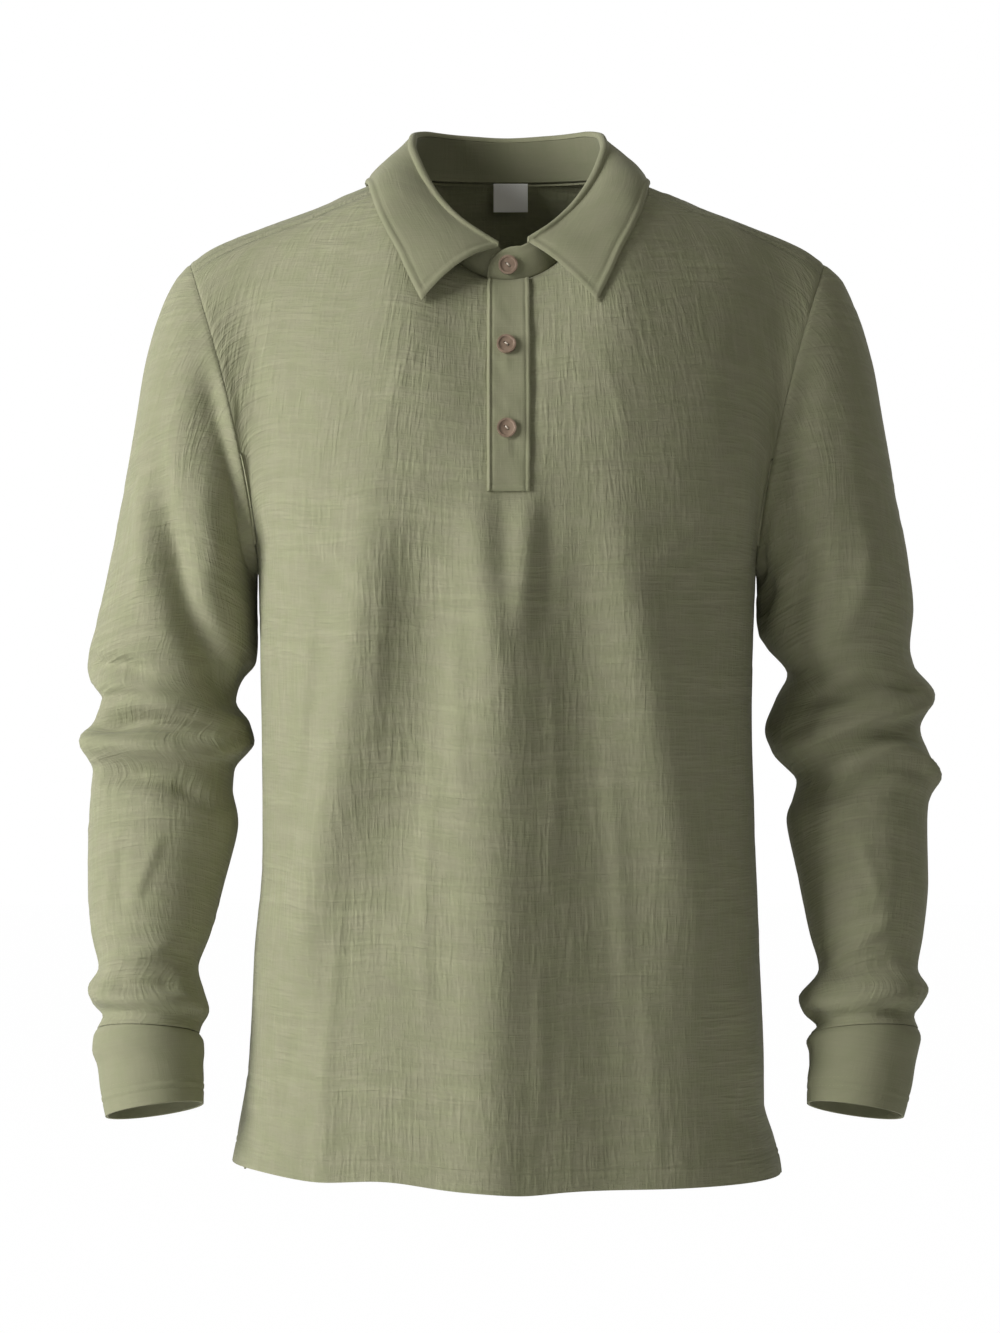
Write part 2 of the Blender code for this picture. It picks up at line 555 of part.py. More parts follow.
def make_front():
    slit = SLIT_HALF / BODY[0].right / (math.pi / 2)
    grid = panel(panel_columns(FRONT_COLUMNS, slit), True, FRONT_DRAPES)
    middle = grid.shape[1] // 2 - 1
    skip = np.zeros((grid.shape[0] - 1, grid.shape[1] - 1), bool)
    skip[:, middle] = grid[:-1, middle, 2] > SLIT_BOTTOM
    wall("front", grid, panel_inward(grid, True), BODY_CLOTH, "cloth", skip=skip)
    return grid


def make_back():
    grid = panel(panel_columns(BACK_COLUMNS, 0.0), False, BACK_DRAPES)
    inward = panel_inward(grid, False)
    wall("back", grid[:, ::-1], inward[:, ::-1], BODY_CLOTH, "cloth")
    return grid


# ---- sleeves and cuffs -----------------------------------------------------------------------------
def ring_places(rows):
    """Row numbers of a tube's rings: each row, and one between rows that lie far apart."""
    places = []
    for i, (a, b) in enumerate(zip(rows, rows[1:])):
        places.append(i)
        outer = math.hypot(b.outer_x - a.outer_x, b.outer_z - a.outer_z)
        if outer > LONG_SPAN:
            places.append(i + 0.5)
    return np.array(places + [len(rows) - 1], float)


def tube(rows, at, turn, side, folds=()):
    """The outer face of a sleeve or cuff. side is 1 for the wearer's left arm, -1 for the right."""
    at, turn = at[:, None], turn[None, :]
    size = {name: column(rows, name, at) for name in Tube._fields}
    is_sleeve = rows[0].outer_z > ARMPIT_Z
    near_cap = ease(1 - at / CAP_SECTIONS) if is_sleeve else at * 0
    across = (1 + np.cos(turn)) / 2
    bowed = across ** (1 + (ARMHOLE_CURVE - 1) * near_cap)
    round_off = SLEEVE_ROUNDNESS + (2 * ARMHOLE_FULLNESS - SLEEVE_ROUNDNESS) * near_cap
    deep = -np.sign(np.sin(turn)) * size["half_depth"] * np.abs(np.sin(turn)) ** round_off
    x = size["inner_x"] + (size["outer_x"] - size["inner_x"]) * bowed
    y = size["middle_y"] + deep
    z = size["inner_z"] + (size["outer_z"] - size["inner_z"]) * across
    z = z - deep * np.tan(np.radians(size["tilt"]))
    grid = np.stack([x * side, y, z], axis=-1)
    outward = grid_normals(grid, around=True) * side
    degrees = np.degrees(turn) + 0 * at
    lift = raised(np.radians(degrees) * FOLD_RADIUS, z, folds, math.radians(1) * FOLD_RADIUS)
    ends = ease(at / FOLD_FREE_TOP) * ease((len(rows) - 1 - at) / FOLD_FREE_END)
    inner = ease(1 - np.abs(degrees - 180) / UNDERARM_HALF) * (z > UNDERARM_Z)
    return grid + outward * (lift * ends * (1 - UNDERARM_CLEAR * inner))[..., None]


def tube_inward(grid, side, is_sleeve):
    inward = grid_normals(grid, around=True) * -side
    if is_sleeve:
        turn = np.linspace(0, 2 * math.pi, grid.shape[1], endpoint=False)
        front = np.where(np.sin(turn) >= 0, -1, 1)
        inward[0] = seam_inward((1 + np.cos(turn)) / 2, side, front)
    # At the seam between them the sleeve and the cuff both go in towards the middle.
    seam = -1 if is_sleeve else 0
    to_middle = grid[seam].mean(axis=0) - grid[seam]
    inward[seam] = to_middle / np.linalg.norm(to_middle, axis=-1, keepdims=True)
    return inward


def pull_end(grid, last, by):
    """Moves a tube's first or last ring along its sides, to leave the gap of a seam."""
    grid = grid.copy()
    end, next_in = (-1, -2) if last else (0, 1)
    step = grid[next_in] - grid[end]
    grid[end] += step / np.linalg.norm(step, axis=-1, keepdims=True) * by
    return grid


def make_sleeve(name, rows, folds, side):
    turn = np.linspace(0, 2 * math.pi, SLEEVE_SIDES, endpoint=False)
    grid = tube(rows, ring_places(rows), turn, side, folds)
    grid = pull_end(grid, False, SEAM_GAP / 2)
    inward = tube_inward(grid, side, True)
    if side < 0:
        grid, inward = grid[:, ::-1], inward[:, ::-1]
    wall(name, grid, inward, BODY_CLOTH, "cloth", around=True)


def make_cuff(name, sleeve_rows, rows, side):
    """The cuff follows on from the sleeve's last section, a seam gap away."""
    turn = np.linspace(0, 2 * math.pi, SLEEVE_SIDES, endpoint=False)
    joined = [sleeve_rows[-1]] + rows
    grid = tube(joined, np.arange(len(joined), dtype=float), turn, side)
    grid = pull_end(grid, False, SEAM_GAP)
    inward = tube_inward(grid, side, False)
    if side < 0:
        grid, inward = grid[:, ::-1], inward[:, ::-1]
    wall(name, grid, inward, TRIM_CLOTH, "trim", around=True)


# ---- collar -----------------------------------------------------------------------------------------
def neck_edge(front, back):
    """The panels' top edges under the stand, as points in order round the neck, and their angles."""
    found = []
    for grid, is_front in ((front, True), (back, False)):
        edge = grid[-1]
        for p in edge:
            if 0 < p[0] <= (NECK_HALF + 0.5 if is_front else NECK_HALF - 1) or p[0] == 0:
                deep = NECK_FRONT_Y if is_front else -NECK_BACK_Y
                found.append((math.degrees(math.atan2(p[0] / NECK_HALF, p[1] / deep)), p))
    found.sort(key=lambda pair: pair[0])
    angles = np.array([pair[0] for pair in found])
    points = np.array([pair[1] for pair in found])
    mirrored = points[::-1] * [-1, 1, 1]
    return np.concatenate([angles, 360 - angles[::-1]]), np.concatenate([points, mirrored])


def stand_places(angles):
    """Angles round the neck for the stand's columns: the panels' points and places between."""
    kept = [a for a in angles if STAND_PANEL_FROM < a < STAND_PANEL_TO]
    places = [LAP_END + a for a in LAP_PLACES]
    for a, b in zip(kept, kept[1:]):
        places += [a, (a + b) / 2]
    places += [kept[-1], *UNDER_PLACES, UNDER_END]
    return np.unique(places)


def around_neck(places, angles, points):
    """Points of the neck edge at these angles, straight between the panels' own points."""
    ring = np.concatenate([angles - 360, angles, angles + 360])
    return np.stack([np.interp(places, ring, np.tile(points[:, i], 3)) for i in range(3)], axis=-1)


def crest_angle(row):
    return math.degrees(math.atan2(row.fold_x / NECK_ELLIPSE_X, -row.fold_y / NECK_ELLIPSE_Y))


def collar_size(name, places):
    """One column of COLLAR at angles round the neck, counted from the centre front."""
    angles = [crest_angle(row) for row in COLLAR]
    folded = np.abs((places + 180) % 360 - 180)
    if not name.startswith("fold"):
        end = np.where(places < 180, LEAF_FIRST, 360 - LEAF_LAST)
        folded = angles[0] + (folded - end) * (180 - angles[0]) / (180 - end)
    return through(folded, angles, [getattr(row, name) for row in COLLAR])


def crest(places):
    """The top of the rolled fold and the level way out from the neck there."""
    side = np.where((places + 180) % 360 - 180 < 0, -1, 1)
    folded = np.abs((places + 180) % 360 - 180)
    x = collar_size("fold_x", places) * side
    in_front = folded < crest_angle(COLLAR[0])
    x = np.where(in_front, NECK_ELLIPSE_X * np.sin(np.radians(folded)) * side, x)
    y, z = collar_size("fold_y", places), collar_size("fold_z", places)
    x = x + COLLAR_SHIFT * ease((SHIFT_Y - y) / SHIFT_SPAN)
    way = np.stack([np.sin(np.radians(places)), -np.cos(np.radians(places)), 0 * z], axis=-1)
    return np.stack([x, y, z], axis=-1), way


def make_stand(angles, points):
    """A band up from the neck seam. Its wearer's-left end laps over the other one in front."""
    places = stand_places(angles)
    low = around_neck(places, angles, points)
    fold, way = crest(places)
    lap = (TRIM_CLOTH + LAY_GAP) * ease((LAP_FULL + LAP_SPAN - places) / LAP_SPAN)
    lap = (lap - UNDER_SET * ease((places - UNDER_FROM) / UNDER_SPAN))[:, None]
    top = fold - way * STAND_SET - [0, 0, ROLL_UP + SEAM_GAP] + way * lap
    low = low + way * (lap - STAND_FOOT) + [0, 0, SEAM_GAP]
    corner = np.clip((LAP_END + LAP_CORNER - places) / LAP_CORNER, 0, 1)
    share = 1 - LAP_ROUNDING * (1 - np.sqrt(1 - corner**2))
    dropped = 1 - UNDER_DROP * ease((places - UNDER_DROP_FROM) / UNDER_DROP_SPAN)
    share = np.where(places > UNDER_DROP_FROM, dropped, share)
    top = low + (top - low) * share[:, None]
    grid = np.array([low + (top - low) * up + way * math.sin(math.pi * up) * STAND_BOW
                     for up in STAND_SHARES])
    inward = -grid_normals(grid)
    inward[..., 2] *= STAND_TURN
    inward /= np.linalg.norm(inward, axis=-1, keepdims=True)
    wall("collar_stand", grid, inward, TRIM_CLOTH, "trim")
    return places, grid[-1], inward[-1], grid


def make_leaf(places, stand_top, stand_inward, body_tree):
    """The leaf turns over the stand and lies on the shoulders and chest."""
    used = (places > LEAF_FIRST + 1) & (places < LEAF_LAST - 1)
    at = np.concatenate([[LEAF_FIRST], places[used], [LEAF_LAST]])
    top = np.stack([np.interp(at, places, stand_top[:, i]) for i in range(3)], axis=-1)
    back_in = np.stack([np.interp(at, places, stand_inward[:, i]) for i in range(3)], axis=-1)
    _, way = crest(at)
    centre = top + way * STAND_SET + [0, 0, SEAM_GAP]
    side = np.where(at > 180, -1, 1)
    edge = np.stack([collar_size("edge_x", at) * side, collar_size("edge_y", at),
                     collar_size("edge_z", at)], axis=-1)
    edge[:, 0] += COLLAR_SHIFT * ease((SHIFT_Y - edge[:, 1]) / SHIFT_SPAN)
    crown = np.where(side > 0, collar_size("crown_left", at), collar_size("crown_right", at))
    rows = [top + back_in * TRIM_CLOTH + [0, 0, SEAM_GAP]]
    for degrees in ROLL_TURNS:
        turned = math.radians(degrees)
        rows.append(centre - way * math.cos(turned) * ROLL_OUT + [0, 0, math.sin(turned) * ROLL_UP])
    start = centre + way * ROLL_OUT
    bulge = way * crown[:, None] * CROWN_OUT + [0, 0, 1] * crown[:, None] * CROWN_UP
    middle = (start + edge) / 2 + bulge
    for t in np.linspace(0, 1, LEAF_ROWS + 1):
        rows.append(start * (1 - t) * (1 - 2 * t) + middle * 4 * t * (1 - t)
                    + edge * t * (2 * t - 1))
    grid = np.array(rows)
    for row, clear in zip(grid[-LEAF_ROWS:], LEAF_CLEAR):
        for p in row:
            settle(p, body_tree, TRIM_CLOTH + LAY_GAP + clear)
    grid = grid[::-1]
    inward = -grid_normals(grid)
    inward[-1] = -back_in
    wall("collar_leaf", grid, inward, TRIM_CLOTH, "trim")


def settle(point, tree, clear):
    """Moves a point out until it is this clear of the body cloth."""
    where, normal, _, _ = tree.find_nearest(Vector(point * MM))
    height = (Vector(point * MM) - where).dot(normal) / MM
    point += np.array(normal) * max(clear - height, 0)


# ---- placket, buttons and label -----------------------------------------------------------------------
def surface_tree(grids):
    """Outer faces, for what lies on them."""
    points, faces = [], []
    for grid, flip in grids:
        first = len(points)
        rows, columns = grid.shape[:2]
        points += [Vector(p * MM) for row in grid for p in row]
        for i in range(rows - 1):
            for j in range(columns - 1):
                ring = [first + i * columns + j, first + i * columns + j + 1,
                        first + (i + 1) * columns + j + 1, first + (i + 1) * columns + j]
                faces.append(ring[::-1] if flip else ring)
    return BVHTree.FromPolygons(points, faces)


def chest_depth(tree, x, z):
    """The front panel's depth at a place seen from the front, in millimetres."""
    hit = tree.ray_cast(Vector((x, -FAR, z)) * MM, Vector((0, 1, 0)))
    return hit[0].y / MM


def neck_depth(tree, x, z):
    """The back panel's depth at a place seen from the front, in millimetres."""
    hit = tree.ray_cast(Vector((x, FAR, z)) * MM, Vector((0, -1, 0)))
    return hit[0].y / MM


def band(name, tree, left, right, top, bottom, off, slot):
    """A flat band laid along the chest, from top below the neck seam down to the height bottom,
    off by some way from the body cloth's outer face."""
    xs = np.linspace(left, right, BAND_COLUMNS)
    highest = np.array([neck_seam(np.arcsin(np.abs(x) / NECK_HALF))[2] for x in xs]) - top
    up = 1 - (1 - np.linspace(0, 1, BAND_ROWS)[:, None]) ** BAND_PACE
    zs = bottom + (highest - bottom) * up
    grid = np.array([[[x, chest_depth(tree, x, z), z] for x, z in zip(xs, row)] for row in zs])
    outward = grid_normals(grid)
    outward[-1] = outward[-2]
    wall(name, grid + outward * off, -outward, TRIM_CLOTH, slot)


def make_placket(tree):
    band("placket", tree, PLACKET_LEFT, PLACKET_RIGHT, PLACKET_TOP, PLACKET_BOTTOM,
         LAY_GAP + TRIM_CLOTH, "trim")
    band("placket_under", tree, UNDER_LEFT, UNDER_RIGHT, UNDER_TOP, UNDER_BOTTOM,
         -BODY_CLOTH - LAY_GAP, "trim")


def make_button(button, y, lean):
    """A turned button with a raised rim and two sewing holes."""
    dish, rim = BUTTON_THICK - BUTTON_DISH, BUTTON_RADIUS - BUTTON_RIM
    profile = [(0.0, dish), (rim - BUTTON_DISH_SLOPE, dish), (rim, BUTTON_THICK),
               (BUTTON_RADIUS - BUTTON_EDGE_IN, BUTTON_THICK - BUTTON_EDGE_FALL),
               (BUTTON_RADIUS, BUTTON_THICK - BUTTON_EDGE_SIDE), (BUTTON_RADIUS, BUTTON_BACK_UP),
               (BUTTON_RADIUS - BUTTON_BACK_IN, 0.0), (0.0, 0.0)]
    mesh = bpy.data.meshes.new(button.name)
    mesh.from_pydata([(r * MM, 0, h * MM) for r, h in profile],
                     [(i, i + 1) for i in range(len(profile) - 1)], [])
    disc = finish_object(button.name, mesh, "button")
    turned = disc.modifiers.new("turned", "SCREW")
    turned.steps = turned.render_steps = BUTTON_SIDES
    turned.use_merge_vertices = True
    turned.merge_threshold = 0.00005
    for i, across in enumerate((-1, 1)):
        bpy.ops.mesh.primitive_cylinder_add(vertices=HOLE_SIDES, radius=BUTTON_HOLE * MM,
                                            depth=4 * BUTTON_THICK * MM,
                                            location=(0, 0, BUTTON_THICK * MM / 2))
        cutter = bpy.context.object
        cutter.name = f"{button.name}_hole_{i + 1}"
        cutter.data.transform(Matrix.Translation((across * BUTTON_HOLE_AT * MM,
                                                  across * -BUTTON_HOLE_AT * MM, 0)))
        cutter.hide_render = True
        cutter.display_type = "WIRE"
        for collection in list(cutter.users_collection):
            collection.objects.unlink(cutter)
        cutters.objects.link(cutter)
        cut = disc.modifiers.new(f"hole_{i + 1}", "BOOLEAN")
        cut.operation = "DIFFERENCE"
        cut.solver = "EXACT"
        cut.object = cutter
        cutter.parent = disc
    disc.rotation_euler = (math.radians(90) - lean, 0, 0)
    disc.location = (button.x * MM, y * MM, button.z * MM)
    return disc


def make_buttons(tree, stand_tree):
    """Each button lies on what is under it: the placket, or the lapped end of the stand."""
    for button in BUTTONS:
        on_stand = button.z > NECK_FRONT_Z
        under, off = (stand_tree, LAY_GAP) if on_stand else (tree, TRIM_CLOTH + 2 * LAY_GAP)
        above = chest_depth(under, button.x, button.z + BUTTON_SPREAD)
        below = chest_depth(under, button.x, button.z - BUTTON_SPREAD)
        lean = math.atan((above - below) / (2 * BUTTON_SPREAD))
        depth = chest_depth(under, button.x, button.z)
        make_button(button, depth - (off + BUTTON_AIR) / math.cos(lean), lean)


def make_label(tree):
    """A small woven label, sewn into the back neck seam and hanging inside."""
    xs = np.linspace(LABEL_LEFT, LABEL_RIGHT, LABEL_COLUMNS)
    zs = np.linspace(LABEL_BOTTOM, LABEL_TOP, LABEL_ROWS)
    rows = []
    for z, read in zip(zs, np.minimum(zs, NECK_BACK_Z - LABEL_SEAM)):
        rows.append([[x, min(neck_depth(tree, x, read), neck_depth(tree, x, read - LABEL_SPREAD)), z]
                     for x in xs])
    grid = np.array(rows)
    grid[..., 1] -= BODY_CLOTH + LAY_GAP + LABEL_CLOTH + LABEL_AIR
    outward = np.tile([0.0, -1.0, 0.0], grid.shape[:2] + (1,))
    wall("neck_label", grid, -outward, LABEL_CLOTH, "label")


# ---- the shirt ------------------------------------------------------------------------------------------
clear_scene()
shirt = bpy.data.collections.new("polo_shirt")
cutters = bpy.data.collections.new("cutters")
bpy.context.scene.collection.children.link(shirt)
bpy.context.scene.collection.children.link(cutters)

front_grid = make_front()
back_grid = make_back()
body = surface_tree([(front_grid, False), (back_grid, True)])
make_sleeve("sleeve_right", RIGHT_SLEEVE, RIGHT_FOLDS, -1)
make_sleeve("sleeve_left", LEFT_SLEEVE, LEFT_FOLDS, 1)
make_cuff("cuff_right", RIGHT_SLEEVE, RIGHT_CUFF, -1)
make_cuff("cuff_left", LEFT_SLEEVE, LEFT_CUFF, 1)
neck_angles, neck_points = neck_edge(front_grid, back_grid)
stand_at, stand_top, stand_in, stand_grid = make_stand(neck_angles, neck_points)
make_leaf(stand_at, stand_top, stand_in, body)
make_placket(body)
make_buttons(body, surface_tree([(stand_grid, False)]))
make_label(body)
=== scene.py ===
# Long-sleeve polo shirt, filled out as if worn. Metres, +Z up, the front faces -Y.
# Tables and settings are in millimetres, and become metres when a mesh is made.
import math

import bpy
import numpy as np
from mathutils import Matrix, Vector
from mathutils.bvhtree import BVHTree


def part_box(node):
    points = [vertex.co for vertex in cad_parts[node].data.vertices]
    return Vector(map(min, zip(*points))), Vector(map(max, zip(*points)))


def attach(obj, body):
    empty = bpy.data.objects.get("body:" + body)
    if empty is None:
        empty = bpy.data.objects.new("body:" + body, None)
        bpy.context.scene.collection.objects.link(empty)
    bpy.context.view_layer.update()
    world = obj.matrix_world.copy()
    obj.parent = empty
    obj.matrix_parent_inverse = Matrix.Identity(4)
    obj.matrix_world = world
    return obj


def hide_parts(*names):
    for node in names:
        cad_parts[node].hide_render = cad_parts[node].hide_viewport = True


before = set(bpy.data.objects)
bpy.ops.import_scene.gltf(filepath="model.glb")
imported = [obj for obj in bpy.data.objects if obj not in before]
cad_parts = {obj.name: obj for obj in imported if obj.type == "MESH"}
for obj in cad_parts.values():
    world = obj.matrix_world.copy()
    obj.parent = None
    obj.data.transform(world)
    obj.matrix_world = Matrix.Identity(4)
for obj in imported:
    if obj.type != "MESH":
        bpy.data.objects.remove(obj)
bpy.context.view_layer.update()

mm = 0.001
print("frame loaded:", len(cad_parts), "nodes")


# small helpers
def deselectAll():
    for thing in list(bpy.context.selected_objects):
        thing.select_set(False)


def pickOnly(thing):
    deselectAll()
    thing.select_set(True)
    bpy.context.view_layer.objects.active = thing


def ease(t):
    t = np.clip(t, 0.0, 1.0)
    return t * t * (3 - 2 * t)


def bump(distance, width):
    return np.exp(-((distance / width) ** 2))


def through(at, knots, values):  # a smooth curve through knots that never swings past its values
    knots, values = np.asarray(knots, float), np.asarray(values, float)
    steps = np.diff(knots)
    rises = np.diff(values) / steps
    slopes = np.zeros(len(knots))
    slopes[0], slopes[-1] = rises[0], rises[-1]
    sameWay = rises[:-1] * rises[1:] > 0
    mean = 2 * rises[:-1] * rises[1:] / np.where(sameWay, rises[:-1] + rises[1:], 1.0)
    slopes[1:-1] = np.where(sameWay, mean, 0.0)
    at = np.clip(at, knots[0], knots[-1])
    i = np.clip(np.searchsorted(knots, at, side="right") - 1, 0, len(steps) - 1)
    t = (at - knots[i]) / steps[i]
    return (values[i] * (1 + 2 * t) * (1 - t) ** 2 + values[i + 1] * t * t * (3 - 2 * t)
            + steps[i] * (slopes[i] * t * (1 - t) ** 2 - slopes[i + 1] * t * t * (1 - t)))


def softLine(points, perSpan=7):  # a rounded line through a few points
    p = np.asarray(points, float)
    p = np.concatenate([[2 * p[0] - p[1]], p, [2 * p[-1] - p[-2]]])
    line = []
    for a, b, c, d in zip(p, p[1:], p[2:], p[3:]):
        for t in np.linspace(0, 1, perSpan, endpoint=False):
            line.append(0.5 * (2 * b + (c - a) * t + (2 * a - 5 * b + 4 * c - d) * t * t
                               + (3 * b - a - 3 * c + d) * t ** 3))
    return np.array(line + [p[-2]])


def marked(lift, distance, rows):  # adds small ridges and troughs along an edge: height, place, width
    for height, at, wide in rows:
        lift = lift + height * bump(distance - at, wide)
    return lift


fold = {"reach": 2.6, "sideways": 0.4, "fadeShare": 0.32, "faintest": 0.1, "rebound": 0.28}


def creaseLift(across, up, creases):
    # Each crease is (height, width, lean, points): a negative height is a trough, and lean makes
    # one of its sides steeper than the other. It fades towards both ends of its line.
    lift = np.zeros(across.shape)
    for tall, wide, lean, points in creases:
        line = softLine(points)
        reach = wide * fold["reach"]
        near = ((across > line[:, 0].min() - reach) & (across < line[:, 0].max() + reach)
                & (up > line[:, 1].min() - reach) & (up < line[:, 1].max() + reach))
        if not near.any():
            continue
        px, py = across[near][:, None], up[near][:, None]
        start, step = line[:-1], np.diff(line, axis=0)
        size = (step ** 2).sum(axis=1)
        t = np.clip(((px - start[:, 0]) * step[:, 0] + (py - start[:, 1]) * step[:, 1]) / size, 0, 1)
        gx, gy = px - start[:, 0] - t * step[:, 0], py - start[:, 1] - t * step[:, 1]
        away = np.hypot(gx, gy)
        best = away.argmin(axis=1)
        pick = np.arange(len(best))
        turned = gx[pick, best] * step[best, 1] - gy[pick, best] * step[best, 0]
        skew = lean * np.tanh(turned / (wide * wide * fold["sideways"]))
        distance = away[pick, best] / (wide * (1 + skew))
        along = (best + t[pick, best]) / len(step)
        fade = ease(np.minimum(along, 1 - along) / fold["fadeShare"])
        fade = fade * (1 - fold["faintest"]) + fold["faintest"]
        lift[near] += tall * fade * np.exp(-(distance ** 2)) * (1 - fold["rebound"] * distance ** 2)
    return lift


noise = {"cells": (97, 89), "start": 500}


def clothNoise(u, v, cellU, cellV, seed):  # soft unevenness, repeatable
    columns, rows = noise["cells"]
    values = np.random.default_rng(seed).standard_normal((columns, rows))
    x, y = u / cellU + noise["start"], v / cellV + noise["start"]
    i, j = np.floor(x).astype(int), np.floor(y).astype(int)
    fx, fy = ease(x - i), ease(y - j)
    i, j, nextI, nextJ = i % columns, j % rows, (i + 1) % columns, (j + 1) % rows
    return ((values[i, j] * (1 - fx) + values[nextI, j] * fx) * (1 - fy)
            + (values[i, nextJ] * (1 - fx) + values[nextI, nextJ] * fx) * fy)


puckers = {
    # height, cell across and up, patch across and up, and the patch's usual, least and most strength
    "patched": [(0.11, 6.5, 34, 46, 80, 0.5, 0.12, 1.5), (0.17, 38, 6.0, 70, 44, 0.4, 0.08, 1.4)],
    "broad": (0.24, 24, 52),
}


def crinkle(u, v, seed, amount=1.0):  # the cloth's own puckers: upright, level, then broad ones
    lift = 0
    for height, wide, tall, patchWide, patchTall, usual, least, most in puckers["patched"]:
        patch = np.clip(usual + clothNoise(u, v, patchWide, patchTall, seed + 1), least, most)
        lift = lift + height * (clothNoise(u, v, wide, tall, seed) * patch)
        seed += 2
    height, wide, tall = puckers["broad"]
    return amount * (lift + height * clothNoise(u, v, wide, tall, seed))


def gridNormals(grid, around=False):
    if around:
        ring = np.concatenate([grid[:, -2:-1], grid, grid[:, 1:2]], axis=1)
        along = np.gradient(ring, axis=1)[:, 1:-1]
    else:
        along = np.gradient(grid, axis=1)
    normal = np.cross(along, np.gradient(grid, axis=0))
    return normal / np.maximum(np.linalg.norm(normal, axis=-1, keepdims=True), 1e-12)


def clothPlaces(grid, middle, fromLastRow=False):  # where each point lies on the flat cloth
    u = np.zeros(grid.shape[:2])
    u[:, 1:] = np.cumsum(np.linalg.norm(np.diff(grid, axis=1), axis=-1), axis=1)
    u -= u[:, middle:middle + 1]
    v = np.zeros(grid.shape[:2])
    v[1:] = np.cumsum(np.linalg.norm(np.diff(grid, axis=0), axis=-1), axis=0)
    if fromLastRow:
        v = v[-1:] - v
    return np.stack([u, v], axis=-1)


def surfaceTree(grid):  # a grid as something to cast rays at and measure from
    rows, columns = grid.shape[:2]
    faces = [(i * columns + j, i * columns + j + 1, (i + 1) * columns + j + 1, (i + 1) * columns + j)
             for i in range(rows - 1) for j in range(columns - 1)]
    return BVHTree.FromPolygons([Vector(p) for p in (grid * mm).reshape(-1, 3)], faces)


def declare(piece, slot, *nodes):
    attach(piece, "root")
    if nodes:
        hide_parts(*nodes)


def readThree(at, knots, rows):  # points or directions read off a line of them
    return np.stack([np.interp(at, knots, rows[:, k]) for k in range(3)], axis=-1)


def deselectParts(mesh):
    for part in (mesh.vertices, mesh.edges, mesh.polygons):
        part.foreach_set("select", np.zeros(len(part), bool))


sheetForm = {"mergeWithin": 0.02, "edge": 0.35, "edgeSegments": 2, "edgeAngle": 55, "smoothAngle": 60}


def clothSheet(name, grid, places, thick, material, tube=False, gone=None, edge=sheetForm["edge"]):
    # A grid primitive takes the points of the sheet's outer face, then gets its thickness inward.
    rows, columns = grid.shape[:2]
    deselectAll()
    bpy.ops.mesh.primitive_grid_add(x_subdivisions=columns - 1, y_subdivisions=rows - 1, size=2,
                                    location=(0, 0, 0))
    sheet = bpy.context.object
    sheet.name = sheet.data.name = name
    sheet.data.vertices.foreach_set("co", (grid * mm).ravel())
    corners = np.empty(len(sheet.data.loops), np.int32)
    sheet.data.loops.foreach_get("vertex_index", corners)
    sheet.data.uv_layers.active.data.foreach_set("uv", (places.reshape(-1, 2)[corners] * mm).ravel())
    sheet.data.update()
    pickOnly(sheet)
    if tube:  # its first and last columns meet along the seam
        bpy.ops.object.mode_set(mode="EDIT")
        bpy.ops.mesh.select_all(action="SELECT")
        bpy.ops.mesh.remove_doubles(threshold=sheetForm["mergeWithin"] * mm)
        bpy.ops.object.mode_set(mode="OBJECT")
    if gone is not None:
        deselectParts(sheet.data)
        sheet.data.polygons.foreach_set("select", gone.ravel())
        bpy.ops.object.mode_set(mode="EDIT")
        bpy.ops.mesh.select_mode(type="FACE")
        bpy.ops.mesh.delete(type="FACE")
        bpy.ops.object.mode_set(mode="OBJECT")
    wall = sheet.modifiers.new("thickness", "SOLIDIFY")
    wall.thickness = thick * mm
    wall.offset = -1
    wall.use_even_offset = False
    bpy.ops.object.modifier_apply(modifier=wall.name)
    rounded = sheet.modifiers.new("soft edges", "BEVEL")
    rounded.width = edge * mm
    rounded.segments = sheetForm["edgeSegments"]
    rounded.limit_method = "ANGLE"
    rounded.angle_limit = math.radians(sheetForm["edgeAngle"])
    bpy.ops.object.modifier_apply(modifier=rounded.name)
    bpy.ops.object.shade_smooth_by_angle(angle=math.radians(sheetForm["smoothAngle"]))
    sheet.data.materials.clear()
    sheet.data.materials.append(material)
    return sheet


# shader groups, shared by the cloths
def newGroup(name, inputs, outputs):
    group = bpy.data.node_groups.new(name, "ShaderNodeTree")
    for label, kind, value in inputs:
        socket = group.interface.new_socket(label, in_out="INPUT", socket_type=kind)
        if value is not None:
            socket.default_value = value
    for label, kind in outputs:
        group.interface.new_socket(label, in_out="OUTPUT", socket_type=kind)
    return group, group.nodes.new("NodeGroupInput"), group.nodes.new("NodeGroupOutput")


def addNode(tree, kind, values=None, **settings):
    node = tree.nodes.new(kind)
    for key, value in settings.items():
        setattr(node, key, value)
    for key, value in (values or {}).items():
        if isinstance(value, bpy.types.NodeSocket):
            tree.links.new(value, node.inputs[key])
        else:
            node.inputs[key].default_value = value
    return node


def math2(tree, operation, a, b):
    return addNode(tree, "ShaderNodeMath", {0: a, 1: b}, operation=operation).outputs[0]


def remap(tree, value, low, high, newLow=0.0, newHigh=1.0):
    return addNode(tree, "ShaderNodeMapRange", {"Value": value, "From Min": low, "From Max": high,
                                                "To Min": newLow, "To Max": newHigh},
                   interpolation_type="SMOOTHSTEP").outputs["Result"]


def scaled(tree, value, factor):
    return math2(tree, "MULTIPLY", value, factor)


def stretchedNoise(tree, vector, across, up, shift, detail=1.0):
    mapped = addNode(tree, "ShaderNodeMapping", {"Vector": vector, "Scale": (across, up, 1.0),
                                                 "Location": (shift, shift * 0.7, shift)}).outputs[0]
    return addNode(tree, "ShaderNodeTexNoise", {"Vector": mapped, "Scale": 1.0, "Detail": detail,
                                                "Roughness": 0.55}).outputs[0]


